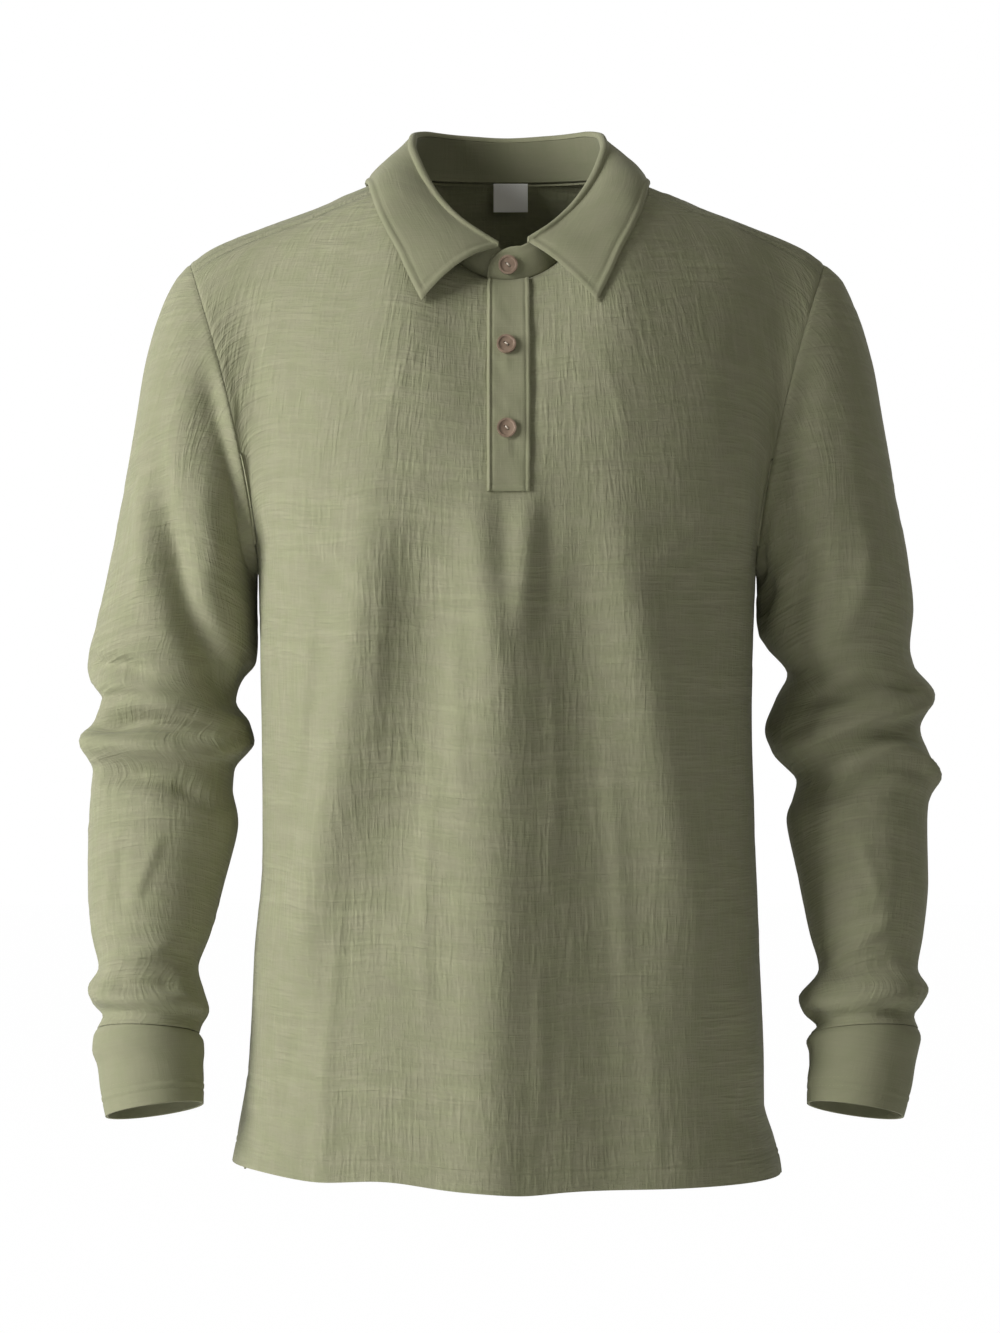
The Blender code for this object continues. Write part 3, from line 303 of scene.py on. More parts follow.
weave = {
    # cells per metre across and up, shift, the noise where it starts and is full, and its least value
    "dashes": (240, 30, 2.0, 0.42, 0.66, 0.0), "fineDashes": (520, 85, 9.0, 0.42, 0.66, 0.0),
    "streaks": (20, 240, 5.0, 0.42, 0.66, 0.0), "fineStreaks": (60, 540, 8.0, 0.42, 0.66, 0.0),
    "dashPatches": (17, 12, 3.0, 0.38, 0.62, 0.3), "streakPatches": (11, 22, 7.0, 0.38, 0.60, 0.25),
}
weaveShares = {"ripples": (9, 82, 6.0), "swell": 2.2, "fineDash": 0.45, "fineStreak": 0.4, "thread": 0.10,
               "shade": 0.6, "threadsPerMetre": 190.0, "threadBend": 1.2, "threadBendScale": 3.0}


def buildCrinkleGroup():
    # Slubs and puckers: upright dashes, level streaks, both in patches, over a fine weave.
    group, take, give = newGroup(
        "crinkled weave",
        [("Vector", "NodeSocketVector", None), ("Dashes", "NodeSocketFloat", 1.0),
         ("Streaks", "NodeSocketFloat", 1.0), ("Weave", "NodeSocketFloat", 1.0)],
        [("Height", "NodeSocketFloat"), ("Shade", "NodeSocketFloat")])
    place, share = take.outputs["Vector"], weaveShares
    made = {name: remap(group, stretchedNoise(group, place, across, up, shift), low, full, least)
            for name, (across, up, shift, low, full, least) in weave.items()}
    ripples = stretchedNoise(group, place, *share["ripples"])
    warp, weft = [addNode(group, "ShaderNodeTexWave", {
        "Vector": place, "Scale": share["threadsPerMetre"], "Distortion": share["threadBend"], "Detail": 1.0,
        "Detail Scale": share["threadBendScale"]}, bands_direction=way).outputs["Fac"] for way in "XY"]
    threads = scaled(group, math2(group, "ADD", warp, weft), 0.5)
    tall = scaled(group, scaled(group, made["dashes"], made["dashPatches"]), take.outputs["Dashes"])
    small = scaled(group, scaled(group, made["fineDashes"], share["fineDash"]), take.outputs["Dashes"])
    swell = scaled(group, math2(group, "SUBTRACT", ripples, 0.5), share["swell"])
    level = scaled(group, math2(group, "ADD", made["streaks"], swell), made["streakPatches"])
    level = math2(group, "ADD", level, scaled(group, made["fineStreaks"], share["fineStreak"]))
    wide = scaled(group, level, take.outputs["Streaks"])
    fine = scaled(group, scaled(group, threads, share["thread"]), take.outputs["Weave"])
    relief = math2(group, "ADD", math2(group, "ADD", tall, small), math2(group, "ADD", wide, fine))
    shade = math2(group, "ADD", scaled(group, tall, share["shade"]), scaled(group, wide, share["shade"]))
    group.links.new(relief, give.inputs["Height"])
    group.links.new(shade, give.inputs["Shade"])
    return group


dye = {"patches": (46, 64, 1.0, 2.0), "from": 0.35, "to": 0.65, "thread": (60, 1400, 4.0, 2.0),
       "threadShare": 0.5, "middle": 0.48}


def buildToneGroup():
    # Slow patches between a greener and a warmer tone, darker between slubs and lighter on them.
    group, take, give = newGroup(
        "uneven dye",
        [("Vector", "NodeSocketVector", None), ("Shade", "NodeSocketFloat", 0.5),
         ("Cool", "NodeSocketColor", None), ("Warm", "NodeSocketColor", None),
         ("Contrast", "NodeSocketFloat", 0.1)],
        [("Colour", "NodeSocketColor")])
    place = take.outputs["Vector"]
    slow = remap(group, stretchedNoise(group, place, *dye["patches"]), dye["from"], dye["to"])
    mixed = addNode(group, "ShaderNodeMix", {0: slow, 6: take.outputs["Cool"], 7: take.outputs["Warm"]},
                    data_type="RGBA").outputs[2]
    thread = stretchedNoise(group, place, *dye["thread"])
    uneven = math2(group, "ADD", take.outputs["Shade"], scaled(group, thread, dye["threadShare"]))
    level = scaled(group, math2(group, "SUBTRACT", uneven, dye["middle"]), take.outputs["Contrast"])
    value = math2(group, "ADD", level, 1.0)
    tinted = addNode(group, "ShaderNodeHueSaturation", {"Color": mixed, "Value": value,
                                                        "Saturation": 1.0}).outputs[0]
    group.links.new(tinted, give.inputs["Colour"])
    return group


crinkleGroup = buildCrinkleGroup()
toneGroup = buildToneGroup()


def clothMaterial(name, look):
    material = bpy.data.materials.new(name)
    material.use_nodes = True
    tree = material.node_tree
    shader = tree.nodes["Principled BSDF"]
    place = addNode(tree, "ShaderNodeTexCoord").outputs["UV"]
    relief = addNode(tree, "ShaderNodeGroup", node_tree=crinkleGroup)
    tree.links.new(place, relief.inputs["Vector"])
    for key in ("Dashes", "Streaks", "Weave"):
        relief.inputs[key].default_value = look[key.lower()]
    tone = addNode(tree, "ShaderNodeGroup", node_tree=toneGroup)
    tree.links.new(place, tone.inputs["Vector"])
    tree.links.new(relief.outputs["Shade"], tone.inputs["Shade"])
    tone.inputs["Cool"].default_value = (*look["cool"], 1)
    tone.inputs["Warm"].default_value = (*look["warm"], 1)
    tone.inputs["Contrast"].default_value = look["contrast"]
    tree.links.new(tone.outputs["Colour"], shader.inputs["Base Color"])
    raisedCloth = addNode(tree, "ShaderNodeBump", {"Height": relief.outputs["Height"],
                                                   "Strength": look["bump"],
                                                   "Distance": look["depth"] * mm})
    tree.links.new(raisedCloth.outputs["Normal"], shader.inputs["Normal"])
    for key, value in (("Roughness", look["roughness"]), ("Specular IOR Level", clothShine["specular"]),
                       ("Sheen Weight", look["sheen"]), ("Sheen Roughness", clothShine["sheenRoughness"])):
        shader.inputs[key].default_value = value
    return material


clothShine = {"specular": 0.25, "sheenRoughness": 0.45}
bodyLook = {"cool": (0.292, 0.298, 0.184), "warm": (0.306, 0.303, 0.198), "dashes": 0.54, "streaks": 0.78,
            "weave": 1.0, "contrast": 0.16, "bump": 0.9, "depth": 0.50, "roughness": 0.92, "sheen": 0.10}
trimLook = {"cool": (0.280, 0.286, 0.176), "warm": (0.292, 0.291, 0.186), "dashes": 0.30, "streaks": 0.40,
            "weave": 1.3, "contrast": 0.08, "bump": 0.6, "depth": 0.35, "roughness": 0.9, "sheen": 0.10}
threadLook = {"cool": (0.34, 0.35, 0.215), "warm": (0.36, 0.355, 0.225), "dashes": 0.0, "streaks": 0.0,
              "weave": 1.0, "contrast": 0.05, "bump": 0.3, "depth": 0.2, "roughness": 0.75, "sheen": 0.1}
labelLook = {"cool": (0.95, 0.945, 0.93), "warm": (0.97, 0.96, 0.945), "dashes": 0.0, "streaks": 0.15,
             "weave": 1.5, "contrast": 0.04, "bump": 0.4, "depth": 0.25, "roughness": 0.6, "sheen": 0.0}
bodyCloth = clothMaterial("crinkled cotton", bodyLook)
trimCloth = clothMaterial("plain cotton", trimLook)
# a darker copy of the plain cotton for the collar stand's inside faces: painted shade for the shadowed inside
# of the neck
shadedInsideCloth = clothMaterial("plain cotton painted inside shade", dict(trimLook, cool=(0.205, 0.210, 0.128),
                                                           warm=(0.213, 0.213, 0.134)))
threadFinish = clothMaterial("sewing thread", threadLook)
labelCloth = clothMaterial("woven label", labelLook)
print("materials built")


stitch = {"pitch": 3.3, "length": 2.35, "thick": 0.42, "sink": 0.1, "droop": 0.45, "segments": 6, "rings": 4}


def stitchRow(name, points, normals, slot="cloth", **changes):
    # One stitch is modelled, then copied along the line; points and normals are in order.
    form = dict(stitch, **changes)
    points, normals = np.asarray(points, float), np.asarray(normals, float)
    gone = np.concatenate([[0], np.cumsum(np.linalg.norm(np.diff(points, axis=0), axis=1))])
    count = max(int(gone[-1] / form["pitch"]), 1)
    at = (np.arange(count) + 0.5) * gone[-1] / count
    place = readThree(at, gone, points)
    ahead = readThree(at + 0.5, gone, points) - readThree(at - 0.5, gone, points)
    ahead /= np.linalg.norm(ahead, axis=1, keepdims=True)
    out = readThree(at, gone, normals)
    out -= ahead * (out * ahead).sum(axis=1, keepdims=True)
    out /= np.linalg.norm(out, axis=1, keepdims=True)
    side = np.cross(ahead, out)
    deselectAll()
    bpy.ops.mesh.primitive_uv_sphere_add(segments=form["segments"], ring_count=form["rings"], radius=1,
                                         location=(0, 0, 0))
    one = bpy.context.object
    shape = np.array([v.co for v in one.data.vertices])
    faces = [tuple(f.vertices) for f in one.data.polygons]
    bpy.data.objects.remove(one)
    long = shape[:, 2] * form["length"] / 2
    high = shape[:, 0] * form["thick"] / 2 - (shape[:, 2] ** 2) * form["thick"] * form["droop"]
    broad = shape[:, 1] * form["thick"] / 2
    every = (place[:, None] + ahead[:, None] * long[:, None]
             + out[:, None] * (high - form["sink"])[:, None] + side[:, None] * broad[:, None])
    allFaces = [tuple(k + n * len(shape) for k in f) for n in range(count) for f in faces]
    mesh = bpy.data.meshes.new(name)
    mesh.from_pydata((every.reshape(-1, 3) * mm).tolist(), [], allFaces)
    row = bpy.data.objects.new(name, mesh)
    bpy.context.scene.collection.objects.link(row)
    pickOnly(row)
    bpy.ops.object.mode_set(mode="EDIT")
    bpy.ops.mesh.select_all(action="SELECT")
    bpy.ops.mesh.normals_make_consistent(inside=False)
    bpy.ops.object.mode_set(mode="OBJECT")
    bpy.ops.object.shade_smooth()
    mesh.materials.append(threadFinish)
    declare(row, slot)


# body panels: level sections from the armpit down, then up to the neck, shoulder and armhole seams
body = {
    #  z, right arm side, left arm side, chest, back, and the back panel's own two sides
    "sections": [(-285, 183.6, 183.2, 131, 121, 183.6, 183.2), (-380, 181.6, 180.9, 132, 119, 181.6, 180.9),
                 (-489, 181.0, 183.8, 131, 116, 181.0, 183.8), (-563, 186.4, 186.6, 132, 117, 186.4, 186.6),
                 (-640, 190.3, 189.8, 133, 120, 190.0, 189.6), (-674, 194.6, 189.9, 134, 121, 192.0, 189.0),
                 (-700, 199.2, 196.6, 135, 122, 193.6, 189.6), (-726, 203.6, 202.0, 136, 123, 195.5, 191.0),
                 (-752, 204.0, 203.0, 136, 123, 196.5, 192.0)],
    "roundness": 2.4, "armpit": -285.0, "hem": -726.0, "tail": 24.0, "ventTop": -674.0,
    "ventFront": 4.5, "ventBack": 3.0, "hemWaves": [(-205, 9, 55), (-95, 6, 42), (14, -2, 25)],
    "neckHalf": 78.0, "neckSide": 11.0, "neckFront": (-86.0, -75.0), "neckBack": (73.0, 12.5),
    "neckCurve": 1.5, "neckShare": 0.33, "neckRoll": 1.6, "shoulderRoll": 2.6,
    "shoulder": [(78, 11), (106, 0.5), (142, -14.3), (184, -29.5), (204, -37), (221, -45), (235, -55)],
    "armDepth": 62.0, "armCurve": 1.65, "armFullness": 0.6,
    "cloth": 1.6, "gap": 0.3, "slitHalf": 1.0, "slitBottom": -214.0, "columns": 172, "lowStep": 3.1,
    "highRows": 92, "easeColumns": 18, "easeDepth": 0.04, "easeShare": 0.2, "tailHalf": 192.0,
    "creaseClear": 34, "crinkleClear": 14, "hemCrinkle": 0.35, "hemCalm": 30, "wobble": 0.35,
    "topSink": (0.2, 0.6), "topWidth": 1.6, "hemRise": 0.35, "hemBand": 21.5, "hemSoft": 2.5,
    "sideSeam": [(-0.7, 0, 1.6)], "sideRidge": [(0.2, 4.5, 2.6)],
    "hemStitches": [(-0.5, 14.6, 0.9), (-0.5, 19.2, 0.9)],
}
frontCreases = [
    # height, width, lean, and the crease's line as (across, height)
    (9.5, 21, 0.0, [(-94, -190), (-100, -280), (-112, -377), (-128, -462), (-142, -540), (-156, -640)]),
    (9.5, 35, 0.0, [(-4, -220), (-6, -340), (-10, -500), (-12, -700), (-12, -900)]),
    (7.0, 27, 0.0, [(80, -180), (86, -290), (104, -377), (122, -462), (137, -540), (146, -610)]),
    (-8.0, 30, 0.0, [(-56, -210), (-58, -300), (-61, -390), (-78, -480), (-98, -600)]),
    (-7.5, 36, 0.0, [(44, -200), (50, -300), (59, -420), (72, -560), (78, -720), (78, -900)]),
    (9.0, 48, 0.5, [(150, 20), (158, -80), (158, -160), (150, -240), (146, -310)]),
    (3.2, 13, 0.0, [(-22, -214), (-20, -270), (-14, -320), (-8, -370)]),
    (3.6, 11, 0.0, [(16, -218), (14, -280), (8, -340)]),
    (-1.2, 8, 0.0, [(-4, -226), (-3, -262), (-2, -300)]),
    (6.0, 58, 0.0, [(-14, -430), (-15, -600), (-15, -800), (-15, -1000)]),
    (2.6, 14, 0.0, [(-128, -590), (-131, -680), (-132, -800)]),
    (-2.5, 9, 0.0, [(30, -232), (27, -280), (24, -340)]),
    (-2.0, 12, 0.0, [(-188, -95), (-186, -140), (-180, -205)]),
    (-3.0, 14, 0.0, [(172, -95), (169, -140), (166, -205)]),
    (-1.2, 4, 0.0, [(19.5, -92), (19.5, -150), (18.5, -218)]),
    (2.0, 14, 0.0, [(150, -560), (168, -610), (186, -668)]),
    (1.6, 7, 0.3, [(-140, -300), (-146, -390), (-158, -470)]),
    (1.3, 6, -0.2, [(-84, -260), (-92, -350), (-97, -430)]),
    (1.2, 6, 0.2, [(-52, -420), (-58, -520), (-55, -640)]),
    (1.4, 7, 0.0, [(-38, -300), (-36, -400), (-31, -470)]),
    (1.2, 6, 0.0, [(30, -330), (34, -430), (30, -530)]),
    (1.5, 7, -0.3, [(70, -390), (80, -500), (86, -610)]),
    (1.3, 6, 0.2, [(128, -300), (136, -390), (140, -470)]),
    (1.1, 5, 0.0, [(-118, -520), (-126, -600), (-134, -690)]),
    (1.2, 6, 0.0, [(20, -540), (24, -620), (20, -700)]),
    (-1.4, 8, 0.2, [(-150, -255), (-118, -290), (-88, -315)]),
    (-1.4, 8, -0.2, [(148, -250), (120, -288), (92, -310)]),
    (1.2, 8, 0.0, [(-168, -225), (-134, -262), (-100, -292)]),
    (1.2, 8, 0.0, [(160, -215), (130, -256), (96, -284)]),
    (0.8, 5, 0.0, [(-66, -120), (-84, -165), (-92, -215)]),
    (0.8, 5, 0.0, [(62, -118), (78, -160), (88, -205)]),
    (1.4, 9, 0.2, [(-172, -520), (-176, -600), (-186, -690)]),
    (-1.5, 8, 0.0, [(-142, -560), (-156, -640), (-170, -715)]),
    (1.0, 6, 0.0, [(96, -560), (104, -640), (108, -716)]),
]
backCreases = [
    (6.5, 24, 0.1, [(-62, -150), (-80, -400), (-112, -700)]),
    (6.0, 26, 0.0, [(8, -210), (4, -430), (-6, -750)]),
    (6.5, 24, -0.1, [(80, -170), (92, -400), (118, -700)]),
    (4.0, 18, 0.0, [(-150, -330), (-148, -440), (-150, -560)]),
    (4.0, 18, 0.0, [(158, -360), (156, -470), (150, -600)]),
    (-4.0, 15, 0.0, [(-176, -90), (-178, -140), (-176, -200)]),
    (-4.0, 15, 0.0, [(176, -90), (178, -140), (176, -200)]),
    (-3.0, 16, 0.0, [(-34, -240), (-40, -420), (-54, -650)]),
    (-3.0, 16, 0.0, [(44, -230), (48, -430), (52, -660)]),
    (1.6, 8, 0.2, [(-112, -260), (-118, -350), (-122, -440)]),
    (1.4, 7, -0.2, [(118, -240), (124, -340), (128, -430)]),
    (1.8, 9, 0.2, [(-160, -215), (-110, -262), (-60, -282)]),
    (-1.8, 9, 0.2, [(-158, -240), (-112, -286), (-70, -302)]),
    (1.8, 9, -0.2, [(158, -205), (112, -256), (66, -276)]),
    (-1.8, 9, -0.2, [(160, -232), (118, -280), (76, -296)]),
    (1.5, 8, 0.0, [(-24, -420), (-26, -520), (-20, -620)]),
    (1.3, 7, 0.0, [(30, -460), (34, -560), (30, -660)]),
    (1.5, 7, 0.2, [(-88, -520), (-98, -600), (-106, -690)]),
    (1.4, 7, 0.0, [(138, -480), (146, -570), (152, -660)]),
    (1.2, 9, 0.0, [(-60, -52), (0, -62), (58, -50)]),
    (-1.2, 9, 0.0, [(-72, -76), (0, -88), (70, -74)]),
]


def bodySize(column, z):
    rows = body["sections"][::-1]
    return through(z, [row[0] for row in rows], [row[column] for row in rows])


def bodySection(z, turn, isFront):
    left, right = bodySize(1 if isFront else 5, z), bodySize(2 if isFront else 6, z)
    deep = bodySize(3 if isFront else 4, z) * (-1 if isFront else 1)
    sine, cosine, power = np.sin(turn), np.abs(np.cos(turn)), body["roundness"]
    reach = (np.abs(sine) ** power + cosine ** power) ** (-1 / power)
    return np.where(turn < 0, left, right) * sine * reach, deep * cosine * reach


def neckSeam(turn):
    isFront = np.cos(turn) > 0
    reach = np.abs(np.cos(turn))
    (frontY, frontZ), (backY, backZ) = body["neckFront"], body["neckBack"]
    y = np.where(isFront, frontY * reach, backY * reach ** 0.8)
    z = body["neckSide"] + np.where(isFront, (frontZ - body["neckSide"]) * reach ** body["neckCurve"],
                                    (backZ - body["neckSide"]) * reach)
    return body["neckHalf"] * np.sin(turn), y, z


def panelTop(s, isFront):
    share, onNeck = np.abs(s), np.abs(s) < body["neckShare"]
    turn = np.minimum(share / body["neckShare"], 1) * math.pi / 2
    shoulderEnd = body["shoulder"][-1][0]
    seam = body["neckHalf"] + (shoulderEnd - body["neckHalf"]) * np.maximum(
        share - body["neckShare"], 0) / (1 - body["neckShare"])
    x, y, z = neckSeam(turn if isFront else math.pi - turn)
    xs, zs = zip(*body["shoulder"])
    return (np.sign(s) * np.where(onNeck, x, seam), np.where(onNeck, y, 0.0),
            np.where(onNeck, z, through(seam, xs, zs)))


def hemHeight(x, isFront):
    if not isFront:
        return body["hem"] - body["tail"] * np.maximum(1 - (np.abs(x) / body["tailHalf"]) ** 4, 0)
    return body["hem"] + sum(up * bump(x - where, wide) for where, up, wide in body["hemWaves"])


def edgeSteps(length, step, fine):  # places along a length, with the fine ones kept exactly
    inner = np.arange(fine[-1] + step, length - step * 0.6, step)
    return np.concatenate([fine, inner, [length]])


hemRows = np.array([0, 0.8, 2.2, 4.4, 7.2, 10, 12.4, 13.8, 14.6, 15.4, 16.2, 17.2, 18.4, 19.2, 20, 20.8,
                    22, 24, 26.6])
hemStitchRows = [np.abs(hemRows - height).argmin() for _, height, _ in body["hemStitches"]]


def panelGrid(isFront, creases, seed):
    half = np.linspace(0, 1, body["columns"] // 2)
    lastStep = half[-1] - half[-2]
    half = np.concatenate([half[:-1], 1 - lastStep * np.array([0.62, 0.34, 0.14, 0.0])])
    if isFront:  # a narrow pair of columns flanks the placket's slit
        slit = body["slitHalf"] / body["sections"][0][2] / (math.pi / 2)
        half = np.concatenate([[slit], half[half > slit * 1.8]])
        s = np.concatenate([-half[::-1], half])
    else:
        s = np.concatenate([-half[:0:-1], half])
    s = s[None, :]
    turn = s * math.pi / 2
    flatX, _ = bodySection(np.full(s.shape, body["hem"]), turn, isFront)
    hem = hemHeight(flatX, isFront)
    tall = body["armpit"] - body["hem"]
    low = (edgeSteps(tall, body["lowStep"], hemRows) / tall)[:-1, None]
    zLow = hem + (body["armpit"] - hem) * low
    apart = ease((body["ventTop"] - zLow) / (body["ventTop"] - body["hem"])) * math.radians(
        body["ventFront"] if isFront else body["ventBack"])
    xLow, yLow = bodySection(zLow, turn * (1 - apart / (math.pi / 2)), isFront)
    w = (1 - np.cos(np.linspace(0, math.pi, body["highRows"])))[:, None] / 2
    w = np.concatenate([w[:-1], [[0.99985], [1.0]]])
    topX, topY, topZ = panelTop(s, isFront)
    ringX, ringY = bodySection(np.full(s.shape, body["armpit"]), turn, isFront)
    roll = body["neckRoll"] + (body["shoulderRoll"] - body["neckRoll"]) * ease(np.abs(s) / body["neckShare"])
    # below the seams the corner between the neck and the shoulder is eased away, so that it leaves
    # no upright line
    eased = np.exp(-((np.abs(s) - body["neckShare"]) / body["easeShare"]) ** 2)
    eased = eased * ease((1 - w) / body["easeDepth"])
    weights = np.hanning(2 * body["easeColumns"] + 3)[1:-1]
    softX, softY, softZ = [np.convolve(np.pad(edge[0], body["easeColumns"], mode="edge"),
                                       weights / weights.sum(), mode="valid") for edge in (topX, topY, topZ)]
    topX, topY = topX + (softX - topX) * eased, topY + (softY - topY) * eased
    wEased = w * (1 + ((topZ - body["armpit"]) / (softZ - body["armpit"]) - 1) * eased)
    leftOver = np.maximum(1 - np.minimum(wEased, 1) ** roll, 0) ** (1 / roll)
    armY = body["armDepth"] * np.maximum(4 * w * (1 - w), 0) ** body["armFullness"]
    xHigh = ringX + (topX - ringX) * w ** body["armCurve"]
    armShare = np.abs(s) ** (4 + 34 * np.exp(-w / 0.05))  # only near the side where the seam begins
    yHigh = topY + (ringY - topY) * leftOver + armY * (-1 if isFront else 1) * armShare
    zHigh = body["armpit"] + (topZ - body["armpit"]) * w
    grid = np.stack([np.concatenate([xLow, xHigh]), np.concatenate([yLow, yHigh]),
                     np.concatenate([zLow, zHigh])], axis=-1)
    places = clothPlaces(grid, s.shape[1] // 2)
    fromSide = np.minimum(places[..., 0] - places[:, :1, 0], places[:, -1:, 0] - places[..., 0])
    fromTop = places[-1:, :, 1] - places[..., 1]
    fromHem = places[..., 1]
    outward = gridNormals(grid) * (1 if isFront else -1)
    clear, calm = body["creaseClear"], body["crinkleClear"]
    lift = creaseLift(grid[..., 0], grid[..., 2], creases) * ease(fromSide / clear) * ease(fromTop / clear)
    puckered = crinkle(places[..., 0], places[..., 1], seed) * ease(fromSide / calm) * ease(fromTop / calm)
    hemShare = body["hemCrinkle"] + (1 - body["hemCrinkle"]) * ease(fromHem / body["hemCalm"])
    lift = lift + puckered * hemShare
    # seams sink a little at the side, shoulder and armhole; the hem is a doubled band with stitch lines
    lift = lift + marked(0, fromSide, body["sideSeam"]) * ease((grid[..., 2] - body["ventTop"]) / 12)
    lift = marked(lift, fromSide, body["sideRidge"])
    lift = lift - np.where(np.abs(s) < body["neckShare"], *body["topSink"]) * bump(fromTop, body["topWidth"])
    lift = lift + body["hemRise"] * ease((body["hemBand"] - fromHem) / body["hemSoft"])
    lift = marked(lift, fromHem, body["hemStitches"])
    wobble = clothNoise(places[..., 0], places[..., 1], 9, 40, seed + 9) * body["wobble"]
    lift = lift + wobble * bump(fromHem - 20, 12) + wobble * bump(fromSide - 4, 6)
    grid = grid + outward * lift[..., None]
    for edge, nextIn in ((np.s_[:, 0], np.s_[:, 1]), (np.s_[:, -1], np.s_[:, -2]),
                         (np.s_[-1, :], np.s_[-2, :])):
        step = grid[nextIn] - grid[edge]
        grid[edge] += step / np.linalg.norm(step, axis=-1, keepdims=True) * body["gap"] / 2
    return grid, places


frontGrid, frontPlaces = panelGrid(True, frontCreases, 11)
backGrid, backPlaces = panelGrid(False, backCreases, 23)
middle = frontGrid.shape[1] // 2 - 1
slit = np.zeros((frontGrid.shape[0] - 1, frontGrid.shape[1] - 1), bool)
slit[:, middle] = frontGrid[:-1, middle, 2] > body["slitBottom"]
front = clothSheet("front_cloth", frontGrid, frontPlaces, body["cloth"], bodyCloth, gone=slit)
back = clothSheet("back_cloth", backGrid[:, ::-1], backPlaces[:, ::-1], body["cloth"], bodyCloth)
declare(front, "cloth", "front")
declare(back, "cloth", "back")
for label, grid, flip in (("front", frontGrid, 1), ("back", backGrid, -1)):
    outward = gridNormals(grid) * flip
    for number, row in enumerate(hemStitchRows):
        stitchRow(f"{label}_hem_stitches_{number + 1}", grid[row, 2:-2], outward[row, 2:-2])
print("body panels made")


# sleeves: sections from the armhole to the cuff seam, then the cuff's own
sleeves = {
    # outer edge x z, inner edge x z, depth of its middle, half depth, degrees it tips up in front
    "right": [(235.0, -55, 184.0, -285, 0, 62, 0), (245.5, -67, 185.5, -288, 1, 64.5, 0),
              (257.0, -91, 185.5, -292, 2, 66, 0), (267.5, -126, 185.5, -297, 4, 66.5, 0),
              (275.5, -170, 185.5, -304, 6, 67, 0), (284.3, -222, 185.4, -313, 9, 67, 0),
              (294.6, -274, 185.4, -324, 12, 66, 0), (305.0, -320, 185.6, -336, 15, 63, 0),
              (313.0, -352, 187.0, -350, 17, 61, 0), (309.0, -365, 197.5, -364, 18, 59, 0),
              (300.0, -377, 202.0, -379, 18, 57, 1), (307.0, -393, 191.5, -395, 18, 58.5, 2),
              (317.0, -411, 188.5, -409, 18, 60.5, 3), (308.5, -431, 203.5, -430, 15, 55.5, 5),
              (309.5, -448, 204.0, -444, 12, 55, 7), (310.5, -476, 199.5, -469, 6, 55.5, 9),
              (310.0, -512, 208.5, -510, -3, 51.5, 11), (306.5, -551, 218.5, -549, -13, 46.5, 12),
              (301.0, -575, 227.5, -574, -19, 42, 12), (308.0, -589, 223.0, -591, -23, 45, 12),
              (305.0, -600, 219.0, -605, -26, 45, 12), (296.5, -610, 224.5, -616, -29, 41, 12),
              (300.5, -619, 226.0, -622, -31, 41, 12)],
    "rightCuff": [(303.5, -626, 222.5, -628, -32.5, 41, 12), (304.0, -635, 222.0, -636, -34.5, 40.5, 12),
                  (300.0, -646, 222.5, -643.5, -37, 38.5, 12), (297.5, -662, 222.0, -656.5, -41, 37.5, 12),
                  (293.0, -682.5, 222.2, -672, -45, 37, 12)],
    "left": [(235.0, -55, 183.5, -285, 0, 62, 0), (247.5, -67, 185.3, -288, 1, 64.5, 0),
             (259.5, -91, 185.4, -292, 2, 66, 0), (270.5, -126, 185.4, -297, 4, 66.5, 0),
             (278.8, -170, 185.4, -303, 6, 67, 0), (288.0, -222, 185.4, -311, 9, 67, 0),
             (298.0, -274, 185.6, -319, 12, 66, 0), (302.0, -308, 187.0, -328, 15, 64, 0),
             (299.5, -337, 194.0, -340, 17, 62, 0), (302.5, -352, 209.0, -359, 18, 58, 0),
             (318.0, -374, 201.0, -377, 18, 58.5, 1), (307.5, -399, 192.5, -400, 18, 60.5, 2),
             (313.5, -417, 198.5, -417, 17, 58.5, 4), (321.5, -436, 215.5, -438, 14, 56, 6),
             (313.5, -454, 212.5, -451, 11, 54.5, 7), (312.0, -474, 207.5, -467, 6, 55, 9),
             (311.5, -512, 216.0, -510, -3, 51.5, 11), (307.0, -551, 223.5, -549, -13, 46.5, 12),
             (302.5, -576, 229.5, -575, -19, 42, 12), (310.0, -591, 214.5, -596, -24, 45.5, 12),
             (304.5, -601, 218.5, -608, -27, 45, 12), (298.5, -610, 227.5, -616.5, -29, 41, 12),
             (301.5, -619, 223.0, -622, -31, 41, 12)],
    "leftCuff": [(303.5, -626, 219.5, -628, -32.5, 41, 12), (301.5, -635, 221.5, -636, -34.5, 40.5, 12),
                 (299.0, -645, 221.5, -643.5, -37, 38.5, 12), (296.0, -661, 219.5, -656.5, -41, 37.5, 12),
                 (289.5, -682.5, 219.5, -672, -45, 37, 12)],
    "cloth": 1.6, "cuffCloth": 2.0, "gap": 0.3, "sides": 126, "step": 3.2, "cuffStep": 2.6,
    "foldRadius": 60.0, "besideBody": 28, "besideDown": -352, "besideRidges": 0.95, "besideTroughs": 0.4,
    "clearTop": 1.7, "clearEnd": 1.2, "cuffCrinkle": 0.3, "cuffRise": 0.4, "cuffHem": 17, "cuffSoft": 2.5,
    "seamMarks": [(-0.7, 0, 1.8)], "cuffTopMarks": [(-0.6, 0, 1.5)],
    "topMarks": [(-0.6, 0, 1.5), (0.35, 4, 2.4)], "cuffStitches": [(-0.5, 10.2, 0.9), (-0.5, 15.6, 0.9)],
}
